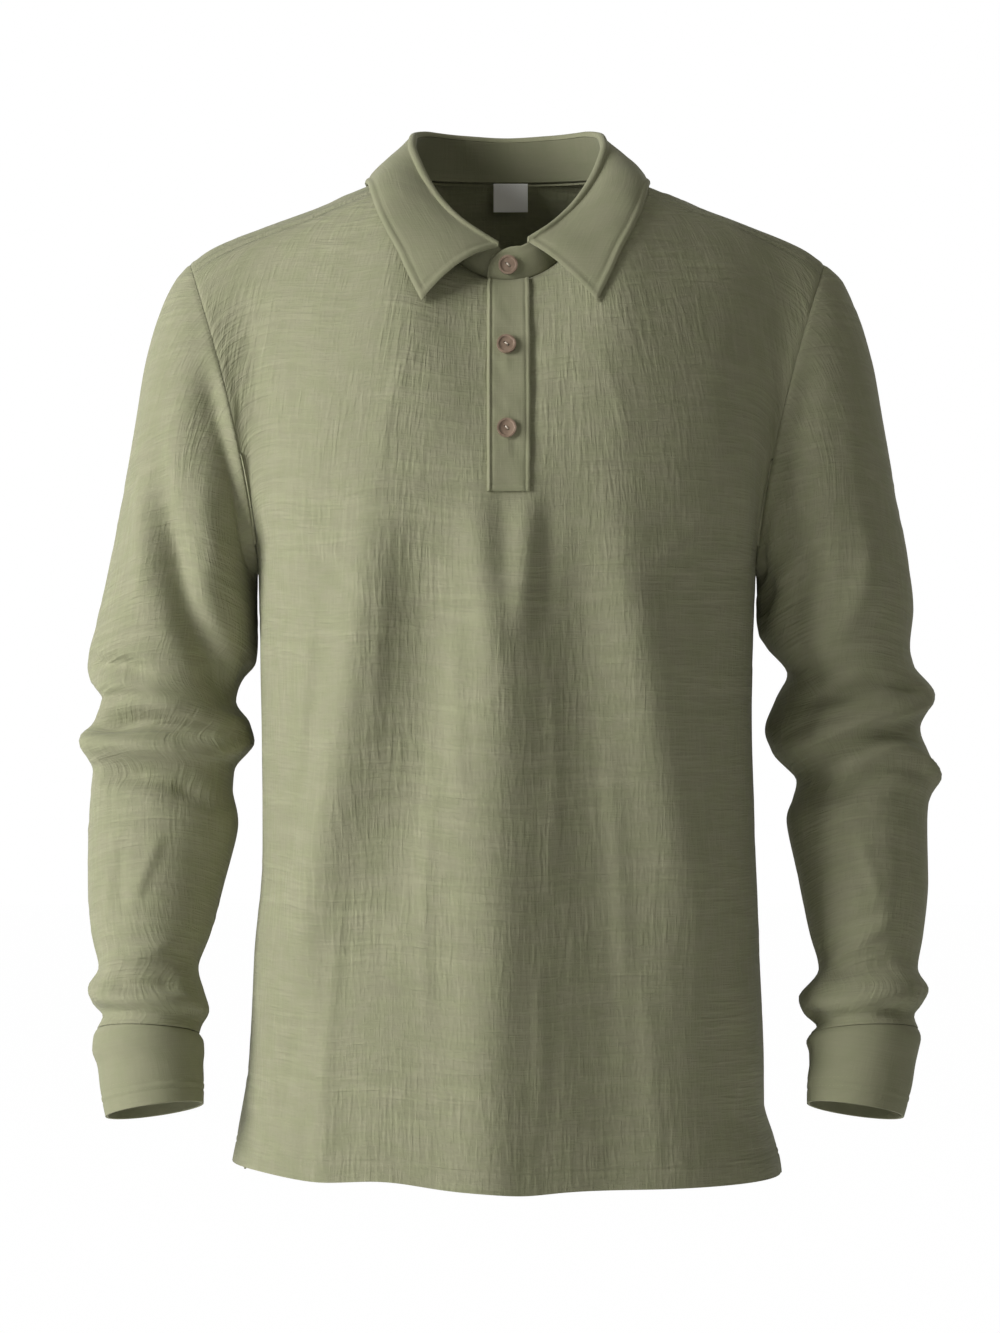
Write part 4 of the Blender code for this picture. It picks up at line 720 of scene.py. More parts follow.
# Creases on a sleeve: height, width, lean, and the line as (degrees round the sleeve, height).
# 0 is outside, 90 in front, 180 inside and 270 behind.
rightCreases = [
    (-13.0, 13, 0.1, [(46, -165), (67, -236), (83, -276), (98, -310), (113, -333), (130, -354), (154, -372),
                      (178, -383)]),
    (-12.0, 14, 0.1, [(66, -60), (74, -110), (87, -160), (107, -203), (130, -240), (150, -274), (174, -306)]),
    (4.0, 14, 0.0, [(90, -196), (102, -236), (112, -272), (120, -300)]),
    (3.0, 11, 0.0, [(44, -215), (56, -265), (64, -320)]),
    (-8.0, 8, 0.2, [(5, -349), (35, -351), (61, -352), (90, -363)]),
    (3.0, 7, 0.0, [(25, -364), (58, -365), (80, -368), (104, -372)]),
    (3.5, 7, 0.0, [(20, -378), (59, -381), (86, -382), (120, -381)]),
    (-9.0, 8, 0.0, [(20, -395), (39, -398), (72, -392), (110, -400), (150, -403)]),
    (8.0, 8, 0.25, [(5, -404), (35, -407), (61, -409), (88, -411), (115, -414), (145, -413), (178, -411)]),
    (-8.5, 9, 0.0, [(30, -434), (67, -431), (96, -434), (120, -442), (150, -452)]),
    (2.0, 8, 0.0, [(40, -450), (74, -448), (108, -458)]),
    (5.5, 17, 0.0, [(30, -350), (33, -385), (36, -425), (40, -475)]),
    (-3.5, 9, 0.0, [(145, -344), (165, -354), (180, -366)]),
    (1.8, 7, 0.2, [(95, -470), (86, -500), (76, -530)]),
    (-1.6, 8, 0.0, [(66, -470), (62, -505), (64, -540)]),
    (4.0, 8, 0.0, [(20, -570), (60, -566), (100, -560), (135, -555)]),
    (-5.0, 8, 0.0, [(36, -584), (75, -583), (110, -583), (136, -590)]),
    (5.0, 7, 0.2, [(0, -592), (50, -592), (112, -594), (169, -604)]),
    (-3.0, 7, 0.0, [(118, -604), (145, -609), (175, -615)]),
    (-2.0, 6, 0.0, [(20, -606), (60, -608), (95, -606)]),
    (-6.0, 11, 0.0, [(205, -350), (262, -362), (330, -352)]),
    (6.0, 11, 0.0, [(190, -380), (270, -392), (350, -382)]),
    (-6.0, 11, 0.0, [(200, -404), (268, -417), (340, -406)]),
    (5.0, 11, 0.0, [(190, -428), (270, -438), (345, -428)]),
    (-3.0, 10, 0.2, [(300, -150), (276, -215), (240, -275)]),
    (2.5, 10, 0.0, [(288, -130), (258, -200), (216, -262)]),
    (2.5, 9, 0.0, [(320, -240), (290, -290), (262, -330)]),
    (1.8, 8, 0.0, [(300, -470), (275, -510), (262, -545)]),
    (-4.0, 9, 0.0, [(205, -578), (275, -584), (335, -574)]),
    (5.0, 9, 0.0, [(205, -596), (275, -602), (335, -592)]),
]
leftCreases = [
    (-10.0, 17, 0.0, [(118, -96), (132, -140), (148, -200), (158, -262), (166, -330)]),
    (-6.0, 11, -0.2, [(93, -92), (108, -116), (130, -149), (148, -196), (162, -245)]),
    (4.0, 11, 0.0, [(78, -110), (98, -165), (118, -212), (142, -262)]),
    (-4.0, 10, 0.0, [(60, -101), (74, -135), (83, -161), (98, -191), (120, -229), (150, -258)]),
    (-1.6, 6, 0.0, [(98, -170), (120, -176), (143, -183)]),
    (-3.0, 9, 0.0, [(140, -286), (154, -303), (174, -320)]),
    (4.5, 13, 0.2, [(61, -235), (65, -275), (79, -309), (99, -331), (129, -356)]),
    (-5.0, 13, 0.0, [(96, -250), (110, -290), (130, -322)]),
    (-8.0, 8, 0.0, [(25, -363), (43, -369), (72, -366), (107, -374), (140, -379)]),
    (7.0, 8, 0.25, [(5, -376), (28, -380), (64, -388), (97, -399), (130, -408), (158, -414)]),
    (-4.5, 8, 0.0, [(35, -399), (66, -402), (98, -410), (125, -416)]),
    (6.0, 8, 0.2, [(0, -438), (23, -432), (50, -415), (81, -417), (115, -427), (142, -437)]),
    (-4.5, 7, 0.0, [(10, -448), (34, -436), (66, -428), (92, -432), (115, -446)]),
    (2.2, 9, 0.0, [(60, -452), (90, -455), (120, -466)]),
    (1.8, 8, 0.2, [(96, -470), (90, -500), (80, -526)]),
    (-1.8, 9, 0.0, [(58, -468), (58, -505), (66, -535)]),
    (2.6, 7, 0.0, [(62, -534), (90, -547), (134, -566)]),
    (-4.0, 8, 0.0, [(50, -575), (84, -571), (118, -574), (140, -580)]),
    (5.0, 7, 0.2, [(0, -602), (44, -594), (71, -591), (102, -595), (140, -597), (176, -600)]),
    (-3.0, 6, 0.0, [(135, -605), (157, -608), (175, -607)]),
    (-3.0, 6, 0.0, [(40, -603), (62, -602), (86, -603)]),
    (-6.0, 11, 0.0, [(205, -345), (265, -356), (330, -348)]),
    (6.0, 11, 0.0, [(190, -372), (270, -384), (350, -376)]),
    (-6.0, 11, 0.0, [(200, -398), (268, -410), (340, -402)]),
    (5.0, 11, 0.0, [(190, -422), (270, -434), (345, -426)]),
    (-3.0, 10, 0.2, [(304, -145), (280, -205), (246, -270)]),
    (2.5, 10, 0.0, [(290, -125), (262, -195), (218, -258)]),
    (2.4, 9, 0.0, [(322, -246), (296, -292), (266, -326)]),
    (1.8, 8, 0.0, [(298, -466), (272, -506), (258, -542)]),
    (-4.0, 9, 0.0, [(205, -578), (275, -584), (335, -574)]),
    (5.0, 9, 0.0, [(205, -596), (275, -602), (335, -592)]),
]


def tubeRows(rows, step, fine):  # row numbers of the rings, evenly spaced down the arm
    at = np.linspace(0, len(rows) - 1, 800)
    read = [through(at, np.arange(len(rows)), [row[k] for row in rows]) for k in range(4)]
    pace = (np.hypot(np.diff(read[0]), np.diff(read[1])) * 0.6
            + np.hypot(np.diff(read[2]), np.diff(read[3])) * 0.4)
    gone = np.concatenate([[0], np.cumsum(pace)])
    places = np.concatenate([fine[0], np.arange(fine[0][-1] + step, gone[-1] - fine[1][0] - step * 0.5, step),
                             gone[-1] - fine[1]])
    return np.interp(places, gone, at)


def tubeGrid(rows, at, side, creases, seed, isSleeve, crinkled):
    turn = np.linspace(-math.pi, math.pi, sleeves["sides"] + 1)
    step = turn[1] - turn[0]
    ends = step * np.array([0.16, 0.4])
    turn = np.concatenate([turn[:1], turn[0] + ends, turn[1:-1], turn[-1] - ends[::-1], turn[-1:]])[None, :]
    at = at[:, None]
    outerX, outerZ, innerX, innerZ, middleY, halfDepth, tilt = [
        through(at, np.arange(len(rows)), [row[k] for row in rows]) for k in range(7)]
    nearCap = ease(1 - at / 4) if isSleeve else at * 0
    across = (1 + np.cos(turn)) / 2
    bowed = across ** (1 + (body["armCurve"] - 1) * nearCap)
    roundOff = 0.95 + (2 * body["armFullness"] - 0.95) * nearCap
    deep = -np.sign(np.sin(turn)) * halfDepth * np.abs(np.sin(turn)) ** roundOff
    x = innerX + (outerX - innerX) * bowed
    z = innerZ + (outerZ - innerZ) * across - deep * np.tan(np.radians(tilt))
    grid = np.stack([x * side, middleY + deep, z], axis=-1)
    places = clothPlaces(grid, turn.shape[1] // 2, fromLastRow=True)
    outward = gridNormals(grid, around=True) * side
    degrees = np.degrees(turn % (2 * math.pi)) + 0 * at
    radius = sleeves["foldRadius"]
    unrolled = [(tall, wide, lean, [(math.radians(a) * radius, h) for a, h in line])
                for tall, wide, lean, line in creases]
    lift = creaseLift(np.radians(degrees) * radius, z, unrolled)
    lift = lift * ease(at / sleeves["clearTop"]) * ease((len(rows) - 1 - at) / sleeves["clearEnd"])
    nearBody = ease(1 - np.abs(degrees - 180) / sleeves["besideBody"]) * (z > sleeves["besideDown"])
    lift = np.where(lift > 0, lift * (1 - sleeves["besideRidges"] * nearBody),
                    lift * (1 - sleeves["besideTroughs"] * nearBody))
    seamOff = np.minimum(places[..., 0] - places[:, :1, 0], places[:, -1:, 0] - places[..., 0])
    fromTop, fromEnd = places[:1, :, 1] - places[..., 1], places[..., 1]
    keep = ease(fromTop / 12) * ease(fromEnd / 10) * ease(seamOff / 8)
    lift = lift + crinkle(places[..., 0], places[..., 1], seed, crinkled) * keep
    lift = marked(lift, seamOff, sleeves["seamMarks"])
    lift = marked(lift, fromTop, sleeves["topMarks" if isSleeve else "cuffTopMarks"])
    grid = grid + outward * lift[..., None]
    grid[:, -1] = grid[:, 0]
    return grid, places


def nudgeEnd(grid, last, by):
    end, nextIn = (-1, -2) if last else (0, 1)
    step = grid[nextIn] - grid[end]
    grid[end] += step / np.linalg.norm(step, axis=-1, keepdims=True) * by
    return grid


cuffHemRows = np.array([0, 0.8, 2.4, 5, 7.6, 9.4, 10.2, 11, 12, 13.4, 14.8, 15.6, 16.4, 18])
for label, side, creases, seed in (("right", -1, rightCreases, 37), ("left", 1, leftCreases, 53)):
    flip = np.s_[:, ::-1] if side < 0 else np.s_[:, :]
    rows = sleeves[label]
    at = tubeRows(rows, sleeves["step"], (np.array([0, 0.7, 1.8, 3.4]), np.array([2.4, 1.1, 0.0])))
    grid, places = tubeGrid(rows, at, side, creases, seed, True, 1.0)
    grid = nudgeEnd(grid, False, sleeves["gap"] / 2)
    sleeve = clothSheet(f"{label}_sleeve_cloth", grid[flip], places[flip], sleeves["cloth"], bodyCloth,
                        tube=True)
    declare(sleeve, "cloth", f"sleeve_{label}")
    joined = [rows[-1]] + sleeves[f"{label}Cuff"]
    at = tubeRows(joined, sleeves["cuffStep"], (np.array([0, 0.7, 1.8, 3.2]), cuffHemRows[::-1]))
    grid, places = tubeGrid(joined, at, side, [], seed + 5, False, sleeves["cuffCrinkle"])
    outward = gridNormals(grid, around=True) * side
    fromEnd = places[..., 1]
    lift = sleeves["cuffRise"] * ease((sleeves["cuffHem"] - fromEnd) / sleeves["cuffSoft"])
    lift = marked(lift, fromEnd, sleeves["cuffStitches"])
    lift = lift + clothNoise(places[..., 0], fromEnd, 12, 40, seed + 6) * 0.3 * bump(fromEnd - 13, 9)
    grid = nudgeEnd(grid + outward * lift[..., None], False, sleeves["gap"])
    cuff = clothSheet(f"{label}_cuff_band", grid[flip], places[flip], sleeves["cuffCloth"], trimCloth,
                      tube=True)
    declare(cuff, "trim", f"cuff_{label}")
    for number, (_, height, _) in enumerate(sleeves["cuffStitches"]):
        rowAt = np.abs(places[:, 0, 1] - height).argmin()
        stitchRow(f"{label}_cuff_stitches_{number + 1}", grid[rowAt], outward[rowAt], "trim")
print("sleeves and cuffs made")


# collar: sections round the neck, from the centre front to the centre back
collar = {
    # crest of the fold x y z, free edge x y z, crown on the wearer's left and right
    "rows": [(9.0, -86, -45.5, 63, -109.5, -91, 4, 9), (20, -83, -38.5, 72, -104, -73, 4, 7),
             (34, -75, -28, 81, -94.5, -53, 4, 5), (47, -63, -14.5, 90, -82, -36, 4.5, 5),
             (57.5, -48, 1, 97, -64, -19, 6.5, 6.5), (66, -30, 18.5, 102.5, -34, -0.5, 6, 6),
             (71, -8, 34.5, 104.8, -2, 4, 4.5, 4.5), (70, 22, 45, 100, 33, 0.5, 3.5, 3.5),
             (57, 51, 49.5, 80, 67, -4, 3, 3), (32, 71, 49, 45, 85, -5, 4, 4),
             (0, 78, 48, 0, 87, -4, 4, 4)],
    "shift": 1.4, "rollOut": 3.2, "rollUp": 3.8, "lapEnd": -10.6, "underEnd": 366.5, "lapCorner": 15.0,
    "leafFirst": 10.0, "leafLast": 354.0, "cloth": 2.0, "gap": 0.3, "footGap": 0.12, "lay": 0.4,
    "stitchIn": 5.5, "nearBody": 9.0, "crestX": 72, "crestY": 82, "shiftFrom": 40, "shiftOver": 80,
    "standIn": 1.2, "footIn": 0.3, "bow": 0.8, "lapFrom": 32, "lapOver": 16, "tuck": 0.8, "tuckFrom": 332,
    "tuckOver": 12, "cornerDrop": 0.72, "endFrom": 352, "endOver": 8, "endDrop": 0.2,
    "standMarks": [(-0.45, 3.2, 0.8), (-0.5, 0, 0.9)], "lapMarks": [(0.7, 1.5, 1.1), (-0.5, 0, 0.8)],
    "stitchMark": (-0.55, 5.5, 1.0), "leafMarks": [(0.3, 2.6, 1.8), (-0.55, 0, 1.1)],
    "shadedInsideFrom": 0.3, "thread": 0.38, "swellRounds": 6, "smoothRounds": 90,
}
neckTurn = np.linspace(0, math.pi, 361)
neckX, neckY, neckZ = neckSeam(neckTurn)
neckDeep = np.where(np.cos(neckTurn) > 0, body["neckFront"][0], -body["neckBack"][0])
neckAngles = np.degrees(np.arctan2(neckX / body["neckHalf"], neckY / neckDeep))
neckPoints = np.stack([neckX, neckY, neckZ], axis=-1)
neckRing = np.concatenate([neckAngles, 360 - neckAngles[::-1]])
neckLoop = np.concatenate([neckPoints, neckPoints[::-1] * [-1, 1, 1]])


def aroundNeck(places):
    ring = np.concatenate([neckRing - 360, neckRing, neckRing + 360])
    return readThree(places, ring, np.tile(neckLoop, (3, 1)))


collarAngles = [math.degrees(math.atan2(row[0] / collar["crestX"], -row[1] / collar["crestY"]))
                for row in collar["rows"]]


def collarSize(column, places):
    folded = np.abs((places + 180) % 360 - 180)
    if column > 2:
        end = np.where(places < 180, collar["leafFirst"], 360 - collar["leafLast"])
        folded = collarAngles[0] + (folded - end) * (180 - collarAngles[0]) / (180 - end)
    side = -1 if column in (0, 3) else 1  # the row beyond the middle of the back mirrors the one before it
    values = [row[column] for row in collar["rows"]]
    return through(folded, collarAngles + [360 - collarAngles[-2]], values + [side * values[-2]])


def shifted(x, y):  # in front the collar sits a little to the wearer's left
    return x + collar["shift"] * ease((collar["shiftFrom"] - y) / collar["shiftOver"])


def collarCrest(places):
    side = np.where((places + 180) % 360 - 180 < 0, -1, 1)
    folded = np.abs((places + 180) % 360 - 180)
    x = np.where(folded < collarAngles[0], collar["crestX"] * np.sin(np.radians(folded)) * side,
                 collarSize(0, places) * side)
    y, z = collarSize(1, places), collarSize(2, places)
    x = shifted(x, y)
    way = np.stack([np.sin(np.radians(places)), -np.cos(np.radians(places)), 0 * z], axis=-1)
    return np.stack([x, y, z], axis=-1), way


def edgeDistance(grid, lines):  # how far each point is from the nearest of some lines of points
    flat = grid.reshape(-1, 3)
    best = np.full(len(flat), 1e9)
    for line in lines:
        for a, b in zip(line, line[1:]):
            step = b - a
            t = np.clip(((flat - a) @ step) / max(step @ step, 1e-9), 0, 1)
            best = np.minimum(best, np.linalg.norm(flat - a - t[:, None] * step, axis=1))
    return best.reshape(grid.shape[:2])


standAt = np.concatenate([collar["lapEnd"] + np.array([0, 0.4, 1.0, 1.8, 2.8, 4.0, 5.4, 7, 9, 11.5, 14.5]),
                          np.arange(6.5, 358, 2.2), [360, 362.5, 364.5, 365.8, collar["underEnd"]]])
standLow = aroundNeck(standAt)
crestPoint, crestWay = collarCrest(standAt)
# the wearer's-left end lies over the other one, which tucks under it
lapOut = (collar["cloth"] + collar["lay"]) * ease((collar["lapFrom"] - standAt) / collar["lapOver"])
lap = (lapOut - collar["tuck"] * ease((standAt - collar["tuckFrom"]) / collar["tuckOver"]))[:, None]
standTop = (crestPoint - crestWay * collar["standIn"] - [0, 0, collar["rollUp"] + collar["gap"]]
            + crestWay * lap)
standLow = standLow + crestWay * (lap - collar["footIn"]) + [0, 0, collar["footGap"]]
corner = np.clip((collar["lapEnd"] + collar["lapCorner"] - standAt) / collar["lapCorner"], 0, 1)
share = 1 - collar["cornerDrop"] * (1 - np.sqrt(1 - corner ** 2))
share = np.where(standAt > collar["endFrom"],
                 1 - collar["endDrop"] * ease((standAt - collar["endFrom"]) / collar["endOver"]), share)
standTop = standLow + (standTop - standLow) * share[:, None]
standUp = np.array([0, 0.03, 0.08, 0.14, 0.2, 0.3, 0.42, 0.55, 0.68, 0.78, 0.85, 0.91, 0.96, 1.0])
standGrid = np.array([standLow + (standTop - standLow) * up
                      + crestWay * math.sin(math.pi * up) * collar["bow"] for up in standUp])
standTopIn = -gridNormals(standGrid)[-1]
standTopIn[:, 2] *= 0.5
standTopIn /= np.linalg.norm(standTopIn, axis=-1, keepdims=True)
standTopLine = standGrid[-1].copy()
standPlaces = clothPlaces(standGrid, len(standAt) // 2)
standEdge = edgeDistance(standGrid, [standGrid[:, 0], standGrid[-1, :14], standGrid[0]])
standNormals = gridNormals(standGrid)
lapEdge = edgeDistance(standGrid, [standGrid[:, 0]])
standLift = marked(marked(0, standEdge, collar["standMarks"]), lapEdge, collar["lapMarks"])
standGrid = standGrid + standNormals * standLift[..., None]
stand = clothSheet("collar_stand_band", standGrid, standPlaces, collar["cloth"], trimCloth, edge=0.2)
stand.data.materials.append(shadedInsideCloth)
for face in stand.data.polygons:  # its inside faces take the darker copy: painted shade for the shadowed inside of the neck
    x, y, _ = face.center
    inward = -(face.normal.x * x + face.normal.y * y)
    face.material_index = int(inward > collar["shadedInsideFrom"] * math.hypot(x, y))
declare(stand, "trim", "collar_stand")

leafAt = np.concatenate([collar["leafFirst"] + np.array([0, 0.35, 0.9, 1.6, 2.4, 3.3, 4.3, 5.4, 6.7, 8.2]),
                         np.arange(20, 344.5, 1.7),
                         collar["leafLast"] - np.array([8.2, 6.7, 5.4, 4.3, 3.3, 2.4, 1.6, 0.9, 0.35, 0])])
top = readThree(leafAt, standAt, standTopLine)
backIn = readThree(leafAt, standAt, standTopIn)
_, way = collarCrest(leafAt)
centre = top + way * collar["standIn"] + [0, 0, collar["gap"]]
side = np.where(leafAt > 180, -1, 1)
leafEdge = np.stack([collarSize(3, leafAt) * side, collarSize(4, leafAt), collarSize(5, leafAt)], axis=-1)
leafEdge[:, 0] = shifted(leafEdge[:, 0], leafEdge[:, 1])
crown = np.where(side > 0, collarSize(6, leafAt), collarSize(7, leafAt))[:, None]
leafRows = [top + backIn * collar["cloth"] + [0, 0, collar["gap"]]]
for degrees in np.arange(22, 166, 13):
    turned = math.radians(degrees)
    leafRows.append(centre - way * math.cos(turned) * collar["rollOut"]
                    + [0, 0, math.sin(turned) * collar["rollUp"]])
start = centre + way * collar["rollOut"]
between = (start + leafEdge) / 2 + way * crown * 0.5 + [0, 0, 1] * crown * 0.8
leafT = np.concatenate([np.linspace(0, 0.86, 24), [0.885, 0.91, 0.93, 0.945, 0.96, 0.972, 0.984, 0.993, 1.0]])
firstFlat = len(leafRows)
for t in leafT:
    leafRows.append(start * (1 - t) * (1 - 2 * t) + between * 4 * t * (1 - t) + leafEdge * t * (2 * t - 1))
leafGrid = np.array(leafRows)
bodyTrees = [surfaceTree(frontGrid), surfaceTree(backGrid[:, ::-1])]
clears = np.interp(leafT, [0.1, 0.25, 0.5, 0.8, 1.0], [0.0, 0.3, 0.5, 0.6, 0.6])
for _ in range(3):  # the leaf is pushed clear of the shoulders in broad swells, so it stays smooth
    push = np.zeros((len(leafT), len(leafAt)))
    leafOut = -gridNormals(leafGrid)[firstFlat:]
    for i, clear in enumerate(clears):
        for j in range(len(leafAt) if leafT[i] > 0.12 else 0):
            p = Vector(leafGrid[firstFlat + i, j] * mm)
            near = [tree.find_nearest(p) for tree in bodyTrees]
            where, normal, _, away = min(near, key=lambda found: found[3])
            if away > collar["nearBody"] * mm:
                continue
            short = max(collar["cloth"] + collar["lay"] + clear - (p - where).dot(normal) / mm, 0)
            push[i, j] = short / max(normal.dot(Vector(leafOut[i, j])), 0.8)
    for number in range(collar["swellRounds"] + collar["smoothRounds"]):
        wide = np.pad(push, 1, mode="edge")
        around = [wide[:-2, 1:-1], wide[2:, 1:-1], wide[1:-1, :-2], wide[1:-1, 2:]]
        if number < collar["swellRounds"]:
            push = np.maximum.reduce(around + [push])
        else:
            push = (around[0] + around[1] + around[2] + around[3] + 2 * push) / 6
    leafGrid[firstFlat:] += leafOut * (push * ease(leafT / 0.25)[:, None])[..., None]
leafGrid = leafGrid[::-1]
leafPlaces = clothPlaces(leafGrid, len(leafAt) // 2)
leafOff = edgeDistance(leafGrid, [leafGrid[0], leafGrid[:-firstFlat, 0], leafGrid[:-firstFlat, -1]])
leafNormals = gridNormals(leafGrid)
inFront = (np.arange(len(leafGrid)) < len(leafGrid) - firstFlat)[:, None]
leafLift = marked(0, leafOff, [collar["stitchMark"]] + collar["leafMarks"]) * inFront
leafLift = leafLift + clothNoise(leafPlaces[..., 0], leafPlaces[..., 1], 16, 22, 71) * 0.18 * inFront
leafGrid = leafGrid + leafNormals * leafLift[..., None]
leaf = clothSheet("collar_leaf_fold", leafGrid, leafPlaces, collar["cloth"], trimCloth)
declare(leaf, "trim", "collar_leaf")
print("collar made")


def contourLine(grid, normals, distance, wanted):  # points of a grid where a distance has a wanted value
    points, outs = [], []
    for j in range(grid.shape[1]):
        d = distance[:, j]
        for i in range(len(d) - 1):
            if (d[i] - wanted) * (d[i + 1] - wanted) < 0:
                f = (wanted - d[i]) / (d[i + 1] - d[i])
                points.append(grid[i, j] * (1 - f) + grid[i + 1, j] * f)
                outs.append(normals[i, j])
                break
    return points, outs


flatRows = len(leafGrid) - firstFlat
leafStitch, leafStitchOut = contourLine(leafGrid[:flatRows], leafNormals[:flatRows], leafOff[:flatRows],
                                        collar["stitchIn"])
stitchRow("collar_leaf_stitches_edge", leafStitch, leafStitchOut, "trim", thick=collar["thread"])


def acrossLine(grid, normals, distance, wanted, rows, fromEnd):  # the same, along the leaf's front edges
    points, outs = [], []
    columns = range(grid.shape[1] - 1) if not fromEnd else range(grid.shape[1] - 1, 0, -1)
    step = 1 if not fromEnd else -1
    for i in rows:
        for j in columns:
            a, b = distance[i, j], distance[i, j + step]
            if (a - wanted) * (b - wanted) < 0:
                f = (wanted - a) / (b - a)
                points.append(grid[i, j] * (1 - f) + grid[i, j + step] * f)
                outs.append(normals[i, j])
                break
    return points, outs


frontRows = [i for i in range(2, flatRows - 1) if leafOff[i, len(leafAt) // 2] > collar["stitchIn"] + 0.6]
for label, fromEnd in (("left", False), ("right", True)):
    points, outs = acrossLine(leafGrid, leafNormals, leafOff, collar["stitchIn"], frontRows, fromEnd)
    stitchRow(f"collar_leaf_stitches_{label}", points, outs, "trim", thick=collar["thread"])


# placket: the band on top, the band below, then the buttons on them
placket = {"left": -14.5, "right": 16.2, "bottom": -228.5, "underLeft": -16.0, "underRight": 13.0,
           "cloth": 2.0, "lay": 0.4, "stitchIn": 3.2, "boxUp": 4.6, "topDrop": -1.3, "underDrop": -3.3,
           "underUp": 4, "underGap": 0.35, "columns": 14, "edgeIn": 5.6, "rowStep": 2.2, "length": 152.0,
           "rayFrom": -400}


def chestDepth(tree, x, z):
    return tree.ray_cast(Vector((x, placket["rayFrom"], z)) * mm, Vector((0, 1, 0)))[0].y / mm


def bandGrid(left, right, topDrop, bottom, off):
    fineEdge = np.array([0, 0.5, 1.2, 2.0, 2.8, 3.4, 4.2])
    inner = np.linspace(left + placket["edgeIn"], right - placket["edgeIn"], placket["columns"])
    across = np.concatenate([left + fineEdge, inner, right - fineEdge[::-1]])
    highest = neckSeam(np.arcsin(np.abs(across) / body["neckHalf"]))[2] + topDrop
    fineFoot = np.array([0, 0.5, 1.2, 2.2, 3.4, 4.2, 5.0, 6.2])
    long = placket["length"]
    up = np.concatenate([fineFoot, np.arange(8, long - 4, placket["rowStep"]),
                         np.linspace(long - 3.5, long, 3)]) / long
    zs = bottom + (highest[None, :] - bottom) * up[:, None]
    points = np.array([[[x, chestDepth(bodyTrees[0], x, z), z] for x, z in zip(across, row)] for row in zs])
    # the band spans small hollows of the chest, as a stiffer doubled cloth does
    for _ in range(3):
        points[1:-1, 1:-1, 1] = (points[1:-1, 1:-1, 1] * 2 + points[:-2, 1:-1, 1] + points[2:, 1:-1, 1]
                                 + points[1:-1, :-2, 1] + points[1:-1, 2:, 1]) / 6
    outward = gridNormals(points)
    outward[-1] = outward[-2]
    return points + outward * off, outward


bandPoints, bandOut = bandGrid(placket["left"], placket["right"], placket["topDrop"], placket["bottom"],
                               placket["lay"] + placket["cloth"])
bandPlaces = clothPlaces(bandPoints, bandPoints.shape[1] // 2)
fromLeft = bandPlaces[..., 0] - bandPlaces[:, :1, 0]
fromRight = bandPlaces[:, -1:, 0] - bandPlaces[..., 0]
fromFoot = bandPlaces[..., 1]
sideOff = np.minimum(fromLeft, fromRight)
bandLift = (-0.9 * bump(np.minimum(fromLeft, fromFoot), 0.9) - 0.3 * bump(fromRight, 0.8)
            + 0.5 * bump(fromLeft - 1.6, 1.0) + 0.15 * bump(fromRight - 1.6, 1.0)
            - 0.5 * bump(sideOff - placket["stitchIn"], 0.8) - 0.55 * bump(fromFoot - placket["boxUp"], 0.9)
            + 0.35 * clothNoise(bandPlaces[..., 0] + bandPlaces[..., 1] * 0.4, bandPlaces[..., 1], 9, 13, 91))
for name in ("button_middle", "button_lower"):  # the cloth gives a little under each button
    lo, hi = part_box(name)
    x, z = (lo[0] + hi[0]) / 2 / mm, (lo[2] + hi[2]) / 2 / mm
    bandLift = bandLift + 0.45 * bump(bandPoints[..., 0] - x, 3.0) * bump(bandPoints[..., 2] - z + 12, 7)
    bandLift = bandLift - 0.35 * bump(np.hypot(bandPoints[..., 0] - x, bandPoints[..., 2] - z) - 8, 2.2)
bandPoints = bandPoints + bandOut * bandLift[..., None]
placketBand = clothSheet("placket_band", bandPoints, bandPlaces, placket["cloth"], trimCloth)
declare(placketBand, "trim", "placket")
underPoints, _ = bandGrid(placket["underLeft"], placket["underRight"], placket["underDrop"],
                          placket["bottom"] + placket["underUp"],
                          -body["cloth"] - placket["lay"] - placket["underGap"])
underBand = clothSheet("placket_under_band", underPoints, clothPlaces(underPoints, 10), placket["cloth"],
                       trimCloth)
declare(underBand, "trim", "placket_under")
for label, column in (("left", 5), ("right", -6)):
    stitchRow(f"placket_stitches_{label}", bandPoints[6:-1, column], bandOut[6:-1, column], "trim")
stitchRow("placket_stitches_foot", bandPoints[5, 4:-4], bandOut[5, 4:-4], "trim")
print("placket made")


button = {
    "radius": 7.0, "thick": 2.4, "rim": 1.35, "dish": 0.75, "hole": 0.85, "holeAt": 1.55, "sides": 48,
    "slope": 0.5, "floorIn": 1.2, "floorDrop": 0.15, "holeSides": 20, "softRim": 0.28, "softSegments": 3,
    "softAngle": 38, "smoothAngle": 35, "lay": 0.25, "leanOver": 4, "strands": (-0.32, -0.1, 0.14, 0.34),
    "strandPoints": 9, "strand": 0.19, "strandSink": 0.05, "strandRise": 0.55, "strandDive": 0.4,
    "dark": (0.205, 0.140, 0.098, 1), "light": (0.335, 0.245, 0.178, 1), "roughness": 0.42,
}


